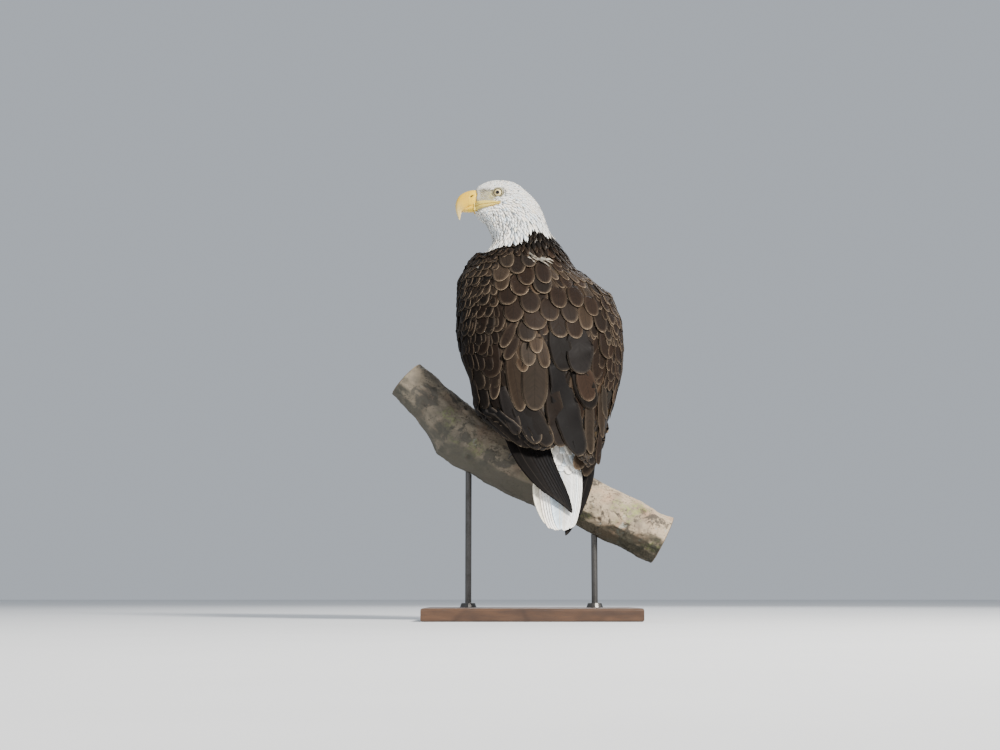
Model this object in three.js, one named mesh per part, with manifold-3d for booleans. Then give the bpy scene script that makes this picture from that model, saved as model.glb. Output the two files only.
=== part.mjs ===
// A life-size bald eagle perched on a cut length of branch, on a plain display stand.
// Millimetres, +Z up, origin at the centre of the stand base's underside.
// Every flesh piece is the outer shape of its plumage. Neighbours are parted by a thin gap.
import * as THREE from "three";
import { mergeVertices } from "three/addons/utils/BufferGeometryUtils.js";
import Module from "manifold-3d";

const wasm = await Module();
wasm.setup();

// ---- Driving dimensions -------------------------------------------------------------------------
const GAP = 0.35; // clearance between neighbouring pieces
const LEFT = -1;
const RIGHT = 1;

const BASE = { width: 400, depth: 290, height: 24, bevel: 4 };
const ROD = { radius: 6, length: 460, collarRadius: 16, collarHeight: 8, taper: 3 };
const ROD_AT = [-118, 122]; // x of the two rods under the branch

const PERCH_Y = 30; // the branch runs in the plane y = PERCH_Y
const FEET = { x: 2, y: 12, z: 325 }; // midpoint between the feet, on top of the branch
const BODY_YAW = THREE.MathUtils.degToRad(25); // the breast faces away and to the left
const HEAD_Y = 38; // the head's own middle plane, with the bill towards -X
const EYE_AT = { x: -61, z: 834 }; // the head's own origin, just above the eyes
const HEAD_SCALE = 1.955; // mm for each unit of the head outline

const COLOUR = {
  white: { color: 0xf2f0ea, roughness: 0.8, metalness: 0 },
  brown: { color: 0x4a382c, roughness: 0.8, metalness: 0 },
  darkBrown: { color: 0x2e2520, roughness: 0.75, metalness: 0 },
  bill: { color: 0xf0c24b, roughness: 0.4, metalness: 0 },
  foot: { color: 0xe3b23c, roughness: 0.55, metalness: 0 },
  claw: { color: 0x1d1b1a, roughness: 0.3, metalness: 0 },
  eye: { color: 0xe9dfa6, roughness: 0.05, metalness: 0 },
  bark: { color: 0xa89a84, roughness: 0.9, metalness: 0 },
  wood: { color: 0x3a2a20, roughness: 0.5, metalness: 0 },
  steel: { color: 0x9a9a9c, roughness: 0.3, metalness: 1 },
};

// ---- General shape tools ------------------------------------------------------------------------
const lerp = THREE.MathUtils.lerp;
const radians = THREE.MathUtils.degToRad;
const smooth = (t) => THREE.MathUtils.smoothstep(t, 0, 1);
const steps = (count) => Array.from({ length: count + 1 }, (_, i) => i / count);

// A value of each column between evenly spaced rows, on a Catmull-Rom curve.
function rowAt(rows, share) {
  const at = THREE.MathUtils.clamp(share, 0, 1) * (rows.length - 1);
  const i = Math.min(Math.floor(at), rows.length - 2);
  const t = at - i;
  const near = [-1, 0, 1, 2].map((d) => rows[THREE.MathUtils.clamp(i + d, 0, rows.length - 1)]);
  return near[1].map((_, c) => {
    const [a, b, d, e] = near.map((row) => row[c]);
    return b + 0.5 * t * (d - a + t * (2 * a - 5 * b + 4 * d - e + t * (3 * (b - d) + e - a)));
  });
}

// The columns of rows whose first column falls steadily, read at a value of that column.
function rowAtKey(rows, key) {
  let low = 0;
  let high = 1;
  for (let n = 0; n < 30; n++) {
    const middle = (low + high) / 2;
    if (rowAt(rows, middle)[0] > key) low = middle;
    else high = middle;
  }
  return rowAt(rows, low);
}

function geometryOf(points, index) {
  const geometry = new THREE.BufferGeometry();
  geometry.setAttribute("position", new THREE.Float32BufferAttribute(points.flatMap((p) => p.toArray()), 3));
  geometry.setIndex(index);
  return geometry;
}

// A closed solid, whichever way its faces were wound.
function solidOf(geometry) {
  geometry.deleteAttribute("normal");
  geometry.deleteAttribute("uv");
  const merged = mergeVertices(geometry, 1e-3);
  const make = (triVerts) =>
    new wasm.Manifold(
      new wasm.Mesh({ numProp: 3, vertProperties: merged.attributes.position.array, triVerts }),
    );
  const index = Uint32Array.from(merged.index.array);
  const made = make(index);
  return made.volume() > 0 ? made : make(index.map((_, i) => index[i - (i % 3) + (2 - (i % 3))]));
}

// A closed skin over rings of equal length, with a cap at each end.
function loft(rings) {
  const sides = rings[0].length;
  const points = rings.flat();
  const index = [];
  for (let i = 0; i + 1 < rings.length; i++)
    for (let j = 0; j < sides; j++) {
      const a = i * sides + j;
      const b = i * sides + ((j + 1) % sides);
      index.push(a, b, b + sides, a, b + sides, a + sides);
    }
  const cap = (ring, first, flip) => {
    const centre = points.length;
    points.push(ring.reduce((sum, p) => sum.add(p), new THREE.Vector3()).divideScalar(sides));
    for (let j = 0; j < sides; j++) {
      const a = first + j;
      const b = first + ((j + 1) % sides);
      index.push(centre, flip ? b : a, flip ? a : b);
    }
  };
  cap(rings[0], 0, true);
  cap(rings[rings.length - 1], (rings.length - 1) * sides, false);
  return solidOf(geometryOf(points, index));
}

// A closed shell between an outer and an inner grid of points of the same size.
function shell(outer, inner) {
  const rows = outer.length;
  const columns = outer[0].length;
  const points = [...outer.flat(), ...inner.flat()];
  const at = (i, j, side) => side * rows * columns + i * columns + j;
  const index = [];
  const quad = (a, b, c, d) => index.push(a, b, c, a, c, d);
  for (let i = 0; i + 1 < rows; i++)
    for (let j = 0; j + 1 < columns; j++) {
      quad(at(i, j, 0), at(i, j + 1, 0), at(i + 1, j + 1, 0), at(i + 1, j, 0));
      quad(at(i, j, 1), at(i + 1, j, 1), at(i + 1, j + 1, 1), at(i, j + 1, 1));
    }
  for (let i = 0; i + 1 < rows; i++) {
    quad(at(i, 0, 1), at(i, 0, 0), at(i + 1, 0, 0), at(i + 1, 0, 1));
    quad(at(i, columns - 1, 0), at(i, columns - 1, 1), at(i + 1, columns - 1, 1), at(i + 1, columns - 1, 0));
  }
  for (let j = 0; j + 1 < columns; j++) {
    quad(at(0, j, 0), at(0, j, 1), at(0, j + 1, 1), at(0, j + 1, 0));
    quad(at(rows - 1, j, 1), at(rows - 1, j, 0), at(rows - 1, j + 1, 0), at(rows - 1, j + 1, 1));
  }
  return solidOf(geometryOf(points, index));
}

// A round tube of changing radius through points, with a flat end at each end.
function tube(points, radii, sides) {
  const curve = new THREE.CatmullRomCurve3(points);
  const count = points.length - 1;
  const frames = curve.computeFrenetFrames(count, false);
  return loft(
    points.map((p, i) =>
      steps(sides).slice(0, -1).map((share) => {
        const angle = 2 * Math.PI * share;
        return p
          .clone()
          .addScaledVector(frames.normals[i], radii[i] * Math.cos(angle))
          .addScaledVector(frames.binormals[i], radii[i] * Math.sin(angle));
      }),
    ),
  );
}

const power = (value, exponent) => Math.sign(value) * Math.abs(value) ** exponent;

// ---- The bird's own frame: forward, right and up from between its feet --------------------------
function birdPoint(forward, right, up) {
  return new THREE.Vector3(
    FEET.x - forward * Math.sin(BODY_YAW) + right * Math.cos(BODY_YAW),
    FEET.y + forward * Math.cos(BODY_YAW) + right * Math.sin(BODY_YAW),
    FEET.z + up,
  );
}

// How far a point is forward and to the right of the feet.
function birdPlan(point) {
  const x = point.x - FEET.x;
  const y = point.y - FEET.y;
  return [y * Math.cos(BODY_YAW) - x * Math.sin(BODY_YAW), x * Math.cos(BODY_YAW) + y * Math.sin(BODY_YAW)];
}

// The outline of the whole plumage with the wings shut, at falling heights:
// height, centre forward of the feet, half width, depth behind the centre, depth before it,
// centre to the right of the feet. The turned neck and the braced wings make it uneven.
const HULL = [
  [402, 40, 70, 58, 60, -3],
  [386, 38, 91, 70, 74, -4],
  [371, 35, 103, 78, 84, -6],
  [347, 27, 129, 90, 97, -1],
  [324, 11, 150, 97, 109, 8],
  [300, -7, 158, 101, 119, 8],
  [276, -22, 165, 103, 128, 8],
  [253, -32, 166, 104, 134, 6],
  [230, -39, 166, 104, 136, 2],
  [184, -50, 168, 102, 134, -2],
  [138, -62, 160, 95, 122, -4],
  [92, -71, 147, 83, 104, -9],
  [46, -83, 136, 70, 86, -17],
  [1, -106, 103, 54, 60, -6],
  [-45, -128, 78, 38, 42, 2],
  [-85, -142, 60, 28, 30, 0],
];

// The body under the wings, in the same columns, and how far its ring rises to the nape.
const TRUNK = [
  [412, 38, 47, 40, 38, 0, 24],
  [398, 37, 72, 58, 58, -3, 17],
  [377, 33, 95, 77, 82, -5, 5],
  [350, 26, 112, 89, 95, -3, 0],
  [324, 11, 123, 96, 108, 3, 0],
  [300, -6, 127, 99, 117, 4, 0],
  [265, -26, 129, 102, 129, 4, 0],
  [230, -38, 129, 99, 135, 2, 0],
  [184, -49, 126, 90, 133, 0, 0],
  [138, -59, 108, 76, 104, 0, 0],
  [92, -72, 74, 55, 54, 0, 0],
  [46, -87, 52, 36, 42, 0, 0],
  [1, -106, 40, 22, 26, 0, 0],
  [-35, -125, 33, 14, 14, 0, 0],
];
const SQUARENESS = 2.15; // exponent of the body's oval: 2 is an ellipse
const NAPE_ANGLE = radians(65); // where the turned neck's nape meets the shoulders

// A point of an outline: angle 0 at the back, a quarter turn at the right side, half at the breast.
function ovalPoint([level, middle, half, back, front, shift, rise = 0], angle, inward = 0) {
  const up = level + rise * Math.cos(angle - NAPE_ANGLE);
  const along = -power(Math.cos(angle), 2 / SQUARENESS);
  const depth = (along < 0 ? back : front) - inward;
  const across = shift + (half - inward) * power(Math.sin(angle), 2 / SQUARENESS);
  return birdPoint(middle + depth * along, across, up);
}

function trunk(grow) {
  const sides = 24;
  const sections = 15;
  return loft(
    steps(sections).map((t) => {
      const row = rowAt(TRUNK, t);
      row[0] += grow * (1 - 2 * t);
      return steps(sides).slice(0, -1).map((share) => ovalPoint(row, 2 * Math.PI * share, -grow));
    }),
  );
}

// ---- Wings: a shell outside the trunk, from the wrist down to the secondary tips ----------------
// height, angle of the edge near the spine, angle of the leading edge, thickness of the folded wing
const WING = [
  [392, 58, 112, 34],
  [372, 52, 116, 44],
  [347, 42, 122, 52],
  [300, 30, 128, 60],
  [253, 21, 125, 60],
  [207, 13, 120, 60],
  [161, 7, 113, 56],
  [115, 4, 104, 46],
  [69, 3, 93, 28],
  [23, 3, 79, 14],
  [-23, 4, 64, 8],
  [-70, 6, 50, 5],
];
const SECONDARY_TIPS = 8; // rounded feather ends along the wing's lower edge
const SCALLOP = 9; // how far a feather end stands past the notch beside it
const THIN_EDGE = 0.2; // share of the thickness left at the spine
const ROUND_FROM = 0.8; // share of the way across where the leading edge begins to round in
const LEAST_THICKNESS = 1.6;

const WING_TOP = { inner: 328, outer: 334, arch: 34 }; // heights of the upper edge, and its rise between
const WRIST_LIFT = { [LEFT]: 16, [RIGHT]: 0 }; // the left wrist is held higher
// Heights of the lower edge near the spine, at its lowest place and at the leading edge.
const WING_BOTTOM = {
  [LEFT]: { inner: -6, lowest: -16, outer: 14 },
  [RIGHT]: { inner: -20, lowest: -46, outer: 34 },
};
const LOWEST_AT = 0.45; // share of the way across where the lower edge is lowest

function wingTop(across, side) {
  const { inner, outer, arch } = WING_TOP;
  return lerp(inner, outer, across) + WRIST_LIFT[side] + arch * Math.sin(Math.PI * across) ** 0.8;
}

function wingBottom(across, side) {
  const { inner, lowest, outer } = WING_BOTTOM[side];
  const edge =
    across < LOWEST_AT
      ? lerp(inner, lowest, smooth(across / LOWEST_AT))
      : lerp(lowest, outer, smooth((across - LOWEST_AT) / (1 - LOWEST_AT)));
  return edge - SCALLOP * Math.abs(Math.sin(SECONDARY_TIPS * Math.PI * across)) ** 0.7;
}

function wingPoint(down, across, side, inward, grow) {
  const height = lerp(wingTop(across, side) + grow, wingBottom(across, side) - grow, down);
  const [, inner, outer, thick] = rowAtKey(WING, height);
  const spread = grow / 2; // degrees
  const angle = radians(lerp(inner - spread, outer + spread, across));
  // The shell thins towards the spine and its outer face rounds in at the leading edge.
  const rim = Math.min(1, THIN_EDGE + 5 * across);
  const rounding = 0.45 * thick * smooth(Math.max(0, across - ROUND_FROM) / (1 - ROUND_FROM)) ** 2;
  const inset = inward ? Math.max(LEAST_THICKNESS + rounding, thick * rim) + 2 * grow : rounding;
  return ovalPoint(rowAtKey(HULL, height), side * angle, inset - grow);
}

function wing(side, grow) {
  const grid = (inward) =>
    steps(7).map((down) =>
      steps(SECONDARY_TIPS * 2).map((across) => wingPoint(down, across, side, inward, grow)),
    );
  return shell(grid(false), grid(true));
}

// ---- Tail and folded wing tips: thin blades in the bird's own frame -----------------------------
// height, how far forward the tail's middle lies, how far right
const TAIL_LINE = [
  [52, -88, 0],
  [0, -122, -1],
  [-60, -143, -3],
  [-115, -158, -6],
  [-175, -172, -9],
];

// A blade between two edges: edge(t) gives [right, height], offset is towards the breast.
function blade({ leftEdge, rightEdge, offset, bow, thick, rows, columns, end }, grow) {
  const grid = (inner) =>
    steps(rows).map((down) =>
      steps(columns).map((across) => {
        const [l, lUp] = rowAt(leftEdge, down);
        const [r, rUp] = rowAt(rightEdge, down);
        const right = lerp(l - grow, r + grow, across);
        const up = lerp(lUp, rUp, across) - (end ? end(across) : 0) * down ** 4 + grow * (1 - 2 * down);
        const [, middle, shift] = rowAtKey(TAIL_LINE, up);
        const half = lerp(thick[0], thick[1], down) / 2 + grow;
        const forward = middle + offset + bow * right * right + (inner ? half : -half);
        return birdPoint(forward, right + shift, up);
      }),
    );
  return shell(grid(false), grid(true));
}

const TAIL_FEATHERS = 8; // feather ends that show along the folded tail
const TAIL_ROUNDING = 16; // how much lower the tail ends in its middle
const TAIL_SCALLOP = 5; // how far a feather end stands past the notch beside it

const tail = (grow) =>
  blade(
    {
      leftEdge: [[-30, 48], [-37, 0], [-43, -50], [-46, -100], [-44, -142]],
      rightEdge: [[30, 48], [36, 0], [42, -50], [43, -100], [40, -142]],
      offset: 0,
      bow: 0.0035,
      thick: [9, 3],
      rows: 6,
      columns: TAIL_FEATHERS * 2,
      end: (across) =>
        TAIL_ROUNDING * Math.sin(Math.PI * across) ** 0.7 +
        TAIL_SCALLOP * Math.abs(Math.sin(TAIL_FEATHERS * Math.PI * across)) ** 0.7,
    },
    grow,
  );

const PRIMARIES = {
  [LEFT]: {
    leftEdge: [[-104, 36], [-94, -12], [-70, -62], [-38, -104], [-2, -128]],
    rightEdge: [[-28, 44], [-30, -8], [-22, -56], [-6, -96], [6, -132]],
    offset: -11,
    bow: 0.003,
    thick: [7, 2.4],
    rows: 7,
    columns: 4,
  },
  [RIGHT]: {
    leftEdge: [[30, 40], [30, -12], [22, -70], [10, -124], [0, -166]],
    rightEdge: [[92, 30], [84, -20], [66, -76], [38, -128], [6, -170]],
    offset: 11,
    bow: 0.003,
    thick: [7, 2.4],
    rows: 7,
    columns: 4,
  },
};

// ---- Head and neck, in the head's own middle plane ----------------------------------------------
// Distances are in units of HEAD_SCALE from the eye: forward to the bill, up, and to the head's right.
function headPoint(forward, up, right) {
  return new THREE.Vector3(
    EYE_AT.x - HEAD_SCALE * forward,
    HEAD_Y + HEAD_SCALE * right,
    EYE_AT.z + HEAD_SCALE * up,
  );
}

// From the bill's base over the head and down the neck: the outer line (forehead, crown, nape),
// the inner line (chin, throat), and half the width. Forward and up for each line.
const HEAD_ROWS = [
  [22, 5.8, 23, -19.6, 8.4],
  [17.3, 9.8, 21.4, -22.4, 11.8],
  [9.4, 11.6, 18.8, -26.2, 14.4],
  [-1, 12.3, 15.6, -29.6, 16.4],
  [-11.6, 11.2, 12.7, -33.1, 18.2],
  [-21.3, 7.7, 10.3, -37.2, 19.8],
  [-30.2, 1.1, 8.3, -41.8, 21.4],
  [-37.2, -7, 6.8, -46.5, 23],
  [-42.6, -15.8, 6.1, -50.8, 24.6],
  [-46.4, -25.4, 6.8, -54.6, 26.4],
  [-49.6, -35.6, 9, -58.2, 28.6],
  [-54, -45.2, 12.6, -61.8, 31],
  [-61, -55, 16, -68, 33],
  [-68, -66, 18, -76, 34],
];
const HEAD_END = 7.6 / (HEAD_ROWS.length - 1); // where the head is parted from the neck

// Fullness over the brow and the cheek, and the hollow of the lores, as widenings of a ring:
// share along the rows, share from crown to chin, reach in each, amount in head units.
const HEAD_FORMS = [
  [2.6, 0.19, 1, 0.07, 1.5],
  [3.4, 0.405, 0.75, 0.13, -2.8],
  [4.6, 0.6, 1.3, 0.2, 0.9],
  [1.7, 0.45, 0.8, 0.14, -1.5],
];

function headRing(share, sides, grow) {
  const [outX, outZ, inX, inZ, half] = rowAt(HEAD_ROWS, share);
  const reach = Math.hypot(outX - inX, outZ - inZ) / 2;
  return steps(sides).slice(0, -1).map((turn) => {
    const angle = 2 * Math.PI * turn;
    const along = Math.cos(angle) * (1 + grow / reach / HEAD_SCALE);
    const down = (1 - Math.cos(angle)) / 2;
    const row = share * (HEAD_ROWS.length - 1);
    const form = HEAD_FORMS.reduce(
      (sum, [r, d, rowReach, downReach, amount]) =>
        sum + amount * Math.exp(-(((row - r) / rowReach) ** 2) - ((down - d) / downReach) ** 2),
      0,
    );
    const flatness = lerp(0.76, 0.95, smooth(Math.min(1, Math.max(0, row - 2) / 6)));
    const wide = power(Math.sin(angle), flatness) * (half + form + grow / HEAD_SCALE);
    return headPoint(
      (outX + inX) / 2 + ((outX - inX) / 2) * along,
      (outZ + inZ) / 2 + ((outZ - inZ) / 2) * along,
      wide,
    );
  });
}

function headPart(from, to, rings, grow) {
  const sides = 22;
  return loft(steps(rings).map((t) => headRing(lerp(from, to, t), sides, grow)));
}

const head = (grow) => headPart(0, HEAD_END, 12, grow);
const neck = (grow) => headPart(HEAD_END + 0.002, 1, 6, grow);

// ---- Bill and eyes ------------------------------------------------------------------------------
// Culmen line, tomium line and half width, from inside the head to the hook's tip, in head units.
const UPPER_BILL = [
  [17, 2, 17, -15.2, 7.2],
  [24, 2.1, 24, -15.3, 8.2],
  [29.4, 1.4, 28.6, -16.3, 7.8],
  [35.4, -0.8, 32.6, -17.7, 6.6],
  [40, -4.6, 35.4, -18.8, 5.3],
  [42.7, -10.1, 36.9, -19.8, 4.1],
  [43.2, -16, 37.6, -22, 2.9],
  [41.7, -22.8, 38.1, -25, 1.7],
  [39.3, -28.4, 38.7, -28.5, 0.4],
];
const LOWER_BILL = [
  [15, -9, 16, -18.6, 5.8],
  [24, -10.5, 24.4, -20, 6.6],
  [29, -13, 29.2, -20.3, 5.8],
  [33, -16, 33.2, -20.3, 4.4],
  [36, -19, 35.8, -20.2, 2.2],
];

// The upper bill is arched above and square below. The lower bill is round below.
function billPart(rows, rings, sides, underside, grow) {
  return loft(
    steps(rings).map((t) => {
      const [topX, topZ, lowX, lowZ, half] = rowAt(rows, t);
      const reach = Math.max(0.2, Math.hypot(topX - lowX, topZ - lowZ) / 2);
      return steps(sides).slice(0, -1).map((turn) => {
        const angle = 2 * Math.PI * turn;
        const squared = Math.cos(angle) < 0 ? underside : 0.95;
        const along = power(Math.cos(angle), squared) * (1 + grow / HEAD_SCALE / reach);
        const wide = power(Math.sin(angle), squared) * (half + grow / HEAD_SCALE);
        return headPoint(
          (topX + lowX) / 2 + ((topX - lowX) / 2) * along,
          (topZ + lowZ) / 2 + ((topZ - lowZ) / 2) * along,
          wide,
        );
      });
    }),
  );
}

const billUpper = (grow) => billPart(UPPER_BILL, 12, 14, 0.5, grow);
const billLower = (grow) => billPart(LOWER_BILL, 5, 12, 0.9, grow);

const EYE = { radius: 9.8, forward: 0, up: -4, right: 11.6 }; // ball radius in mm, place in head units

function eye(side, grow) {
  const geometry = new THREE.SphereGeometry(EYE.radius + grow, 12, 8);
  // The ball's poles lie in the line of sight, out of the side of the head.
  geometry.rotateX(Math.PI / 2);
  const centre = headPoint(EYE.forward, EYE.up, side * EYE.right);
  return solidOf(geometry.translate(centre.x, centre.y, centre.z));
}

// ---- Perch --------------------------------------------------------------------------------------
// x, z and radius of the branch along its length, from the upper end to the lower.
const PERCH = [
  [-240, 462, 40],
  [-188, 414, 43],
  [-136, 364, 49],
  [-82, 320, 52],
  [-30, 288, 51],
  [26, 262, 50],
  [80, 236, 50],
  [136, 208, 49],
  [192, 180, 49],
  [252, 149, 48],
];
const KNOB = { row: 2.1, reach: 0.7, turn: Math.PI, spread: 0.9, height: 15 }; // swelling under the bend

function perchFrame(share) {
  const [x, z, radius] = rowAt(PERCH, share);
  const near = 0.01;
  const [ax, az] = rowAt(PERCH, Math.max(0, share - near));
  const [bx, bz] = rowAt(PERCH, Math.min(1, share + near));
  const along = new THREE.Vector3(bx - ax, 0, bz - az).normalize();
  const over = new THREE.Vector3(-along.z, 0, along.x); // square to the branch, upwards
  return { centre: new THREE.Vector3(x, PERCH_Y, z), along, over, radius };
}

const FAR = new THREE.Vector3(0, 1, 0); // the far side of the branch, where the front toes go down

// A point near the branch: turn 0 is its top, and a positive turn goes over to the far side.
function perchPoint(share, turn, above) {
  const { centre, over, radius } = perchFrame(share);
  return centre
    .addScaledVector(over, (radius + above) * Math.cos(turn))
    .addScaledVector(FAR, (radius + above) * Math.sin(turn));
}

// Low waves of the bark and the knob. The stretch under the feet stays round.
function barkWave(share, turn) {
  const row = share * (PERCH.length - 1);
  const turned = Math.atan2(Math.sin(turn - KNOB.turn), Math.cos(turn - KNOB.turn));
  const knob = KNOB.height * Math.exp(-(((row - KNOB.row) / KNOB.reach) ** 2) - (turned / KNOB.spread) ** 2);
  const away = smooth(Math.min(1, Math.abs(row - 4.6) / 2));
  return knob + away * (1.6 * Math.sin(3 * turn + 5 * row) + 1.1 * Math.sin(2 * turn - 9 * row));
}

function perch(grow) {
  const sides = 16;
  return loft(
    steps(18).map((share) =>
      steps(sides).slice(0, -1).map((turn) => {
        const angle = 2 * Math.PI * turn;
        return perchPoint(share, angle, grow + barkWave(share, angle));
      }),
    ),
  );
}

// ---- Legs, feet and claws -----------------------------------------------------------------------
const FOOT_SHARE = { [LEFT]: 0.425, [RIGHT]: 0.595 }; // where each foot stands along the branch
const FOOT_TURN = -0.2; // how far behind the top of the branch the ball of the foot rests
const PAD_RADIUS = 13;
const PERCH_LENGTH = steps(100)
  .slice(1)
  .reduce((sum, t) => sum + perchFrame(t).centre.distanceTo(perchFrame(t - 0.01).centre), 0);

// name, sideways spread in degrees (inwards is negative), which way it goes round the branch,
// length, radius at its root and tip, claw length along its curve, claw radius
const TOES = [
  { name: "inner", spread: -24, way: 1, length: 58, radii: [9.6, 8], claw: 40, clawRadius: 5.4 },
  { name: "middle", spread: 0, way: 1, length: 76, radii: [9.4, 7.6], claw: 36, clawRadius: 4.8 },
  { name: "outer", spread: 26, way: 1, length: 62, radii: [8.6, 6.8], claw: 30, clawRadius: 4.2 },
  { name: "hind", spread: 6, way: -1, length: 40, radii: [9.6, 8.4], claw: 42, clawRadius: 5.6 },
];

// A point along a toe's line, with a height over the bark.
function toePoint(side, { spread, way }, distance, above) {
  const slant = radians(spread) * side;
  const share = FOOT_SHARE[side] + (distance * Math.sin(slant)) / PERCH_LENGTH;
  const { radius } = perchFrame(share);
  return perchPoint(share, FOOT_TURN + (way * distance * Math.cos(slant)) / (radius + 8), above);
}

const TOE_ARCH = 3; // how far the middle of a toe stands off the bark
const CLAW_ARCH = 7;
const SUNK = 1.2; // how far a toe's underside would sink into the bark

function toe(side, shape) {
  const { length, radii } = shape;
  const shares = steps(4);
  const radius = (t) => lerp(radii[0], radii[1], t);
  const knuckle = (t) => 0.94 + 0.08 * Math.cos(4 * Math.PI * t);
  const above = (t) => radius(t) - SUNK + TOE_ARCH * Math.sin(Math.PI * t);
  return tube(
    shares.map((t) => toePoint(side, shape, length * t, above(t))),
    shares.map((t) => radius(t) * knuckle(t)),
    6,
  );
}

function claw(side, shape, grow) {
  const { length, radii, claw: reach, clawRadius } = shape;
  const shares = steps(4);
  const start = length - 2;
  const above = (t) =>
    (radii[1] + 1) * (1 - t ** 1.6) + CLAW_ARCH * Math.sin(Math.PI * t ** 0.9) + 0.6 * t;
  return tube(
    shares.map((t) => toePoint(side, shape, start + reach * t * (1 - 0.1 * t), above(t))),
    shares.map((t) => Math.max(0.6, clawRadius * (1 - t) ** 0.75) + grow),
    6,
  );
}

function footJoint(side, above) {
  return toePoint(side, TOES[1], 0, above);
}

// The bare shank: from the ball of the foot up to the ankle inside the thigh feathers.
const ANKLE = { back: 6, up: 62 }; // from the ball of the foot

function shank(side, grow) {
  const low = footJoint(side, PAD_RADIUS + 3);
  const [forward, right] = birdPlan(low);
  const high = birdPoint(forward - ANKLE.back, right, low.z - FEET.z + ANKLE.up);
  return tube(
    steps(4).map((t) => low.clone().lerp(high, t)),
    [10.6, 9.2, 8.8, 9.4, 10.5].map((r) => r + grow),
    10,
  );
}

function foot(side) {
  const ball = new THREE.SphereGeometry(PAD_RADIUS, 9, 6);
  const centre = footJoint(side, PAD_RADIUS - 3);
  ball.translate(centre.x, centre.y, centre.z);
  return TOES.reduce((sum, shape) => sum.add(toe(side, shape)), solidOf(ball));
}

// The feathered thigh hangs from the hip to just over the foot.
const HIP = { forward: 14, right: 60, up: 186 };
// how far forward of the line from the hip to the foot, radius across, radius fore and aft
const THIGH = [
  [0, 50, 54],
  [10, 59, 64],
  [14, 60, 66],
  [11, 53, 58],
  [6, 43, 47],
  [0, 33, 36],
  [-4, 24, 26],
];
const HEM = 24; // height of the thigh feathers' lower edge over the branch

function thigh(side, grow) {
  const foot = footJoint(side, 0);
  const [footForward, footRight] = birdPlan(foot);
  return loft(
    steps(6).map((t) => {
      const [bulge, across, deep] = rowAt(THIGH, t);
      const forward = lerp(HIP.forward, footForward, t) + bulge;
      const right = lerp(side * HIP.right, footRight, t ** 1.5);
      const up = lerp(HIP.up, foot.z - FEET.z + HEM, t) + grow * (1 - 2 * t);
      return steps(16).slice(0, -1).map((turn) => {
        const angle = 2 * Math.PI * turn;
        return birdPoint(
          forward + (deep + grow) * Math.cos(angle),
          right + (across + grow) * Math.sin(angle),
          up,
        );
      });
    }),
  );
}

// ---- Display stand ------------------------------------------------------------------------------
function rod(x) {
  const { radius, length, collarRadius, collarHeight, taper } = ROD;
  const bar = new THREE.CylinderGeometry(radius, radius, length, 16);
  bar.rotateX(Math.PI / 2).translate(x, PERCH_Y, BASE.height + GAP + length / 2);
  const collar = new THREE.CylinderGeometry(collarRadius - taper, collarRadius, collarHeight, 16);
  collar.rotateX(Math.PI / 2).translate(x, PERCH_Y, BASE.height + GAP + collarHeight / 2);
  return solidOf(bar).add(solidOf(collar));
}

// The height of the branch's middle over the base at an x, which ends a rod inside the cut.
function perchHeightAt(x) {
  const share = steps(200).reduce((best, t) =>
    Math.abs(rowAt(PERCH, t)[0] - x) < Math.abs(rowAt(PERCH, best)[0] - x) ? t : best,
  );
  return rowAt(PERCH, share)[1] - BASE.height;
}

// A block over the branch's middle at an x, for cutting off the rod's upper end.
function aboveRod(x) {
  const block = new THREE.BoxGeometry(80, 80, 700);
  return solidOf(block.translate(x, PERCH_Y, BASE.height + 350 + perchHeightAt(x)));
}

function plinth() {
  const { width, depth, height, bevel } = BASE;
  const outline = new THREE.Shape();
  const [w, d] = [width / 2 - bevel, depth / 2 - bevel];
  outline.moveTo(-w, -d).lineTo(w, -d).lineTo(w, d).lineTo(-w, d).closePath();
  const geometry = new THREE.ExtrudeGeometry(outline, {
    depth: height - 2 * bevel,
    bevelEnabled: true,
    bevelThickness: bevel,
    bevelSize: bevel,
    bevelSegments: 3,
    curveSegments: 4,
  });
  return solidOf(geometry.translate(0, 0, bevel));
}

// ---- Assembly: each piece is cut back from the ones made before it ------------------------------
const group = new THREE.Group();
group.name = "bald_eagle";

function add(name, solid, colour) {
  const pieces = solid.decompose().sort((a, b) => b.volume() - a.volume());
  const { vertProperties, triVerts } = pieces[0].getMesh();
  const geometry = new THREE.BufferGeometry();
  geometry.setAttribute("position", new THREE.BufferAttribute(vertProperties, 3));
  geometry.setIndex(new THREE.BufferAttribute(triVerts, 1));
  geometry.computeVertexNormals();
  const mesh = new THREE.Mesh(geometry, new THREE.MeshStandardMaterial(COLOUR[colour]));
  mesh.name = name;
  group.add(mesh);
}

const SIDES = [
  { side: LEFT, name: "left" },
  { side: RIGHT, name: "right" },
];
const less = (solid, ...cutters) => cutters.reduce((kept, cutter) => kept.subtract(cutter), solid);

// Perch and stand.
const perchGrown = perch(GAP);
add("perch", perch(0), "bark");
add("stand_base", plinth(), "wood");
ROD_AT.forEach((x, i) => add(`stand_rod_${i + 1}`, less(rod(x), aboveRod(x), perchGrown), "steel"));

// Head: bill and eyes first, then the head cut back from them.
const upperGrown = billUpper(GAP);
add("bill_upper", billUpper(0), "bill");
add("bill_lower", less(billLower(0), upperGrown), "bill");
SIDES.forEach(({ side, name }) => add(`eye_${name}`, eye(side, 0), "eye"));
add("head", less(head(0), upperGrown, billLower(GAP), eye(LEFT, GAP), eye(RIGHT, GAP)), "white");

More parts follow.
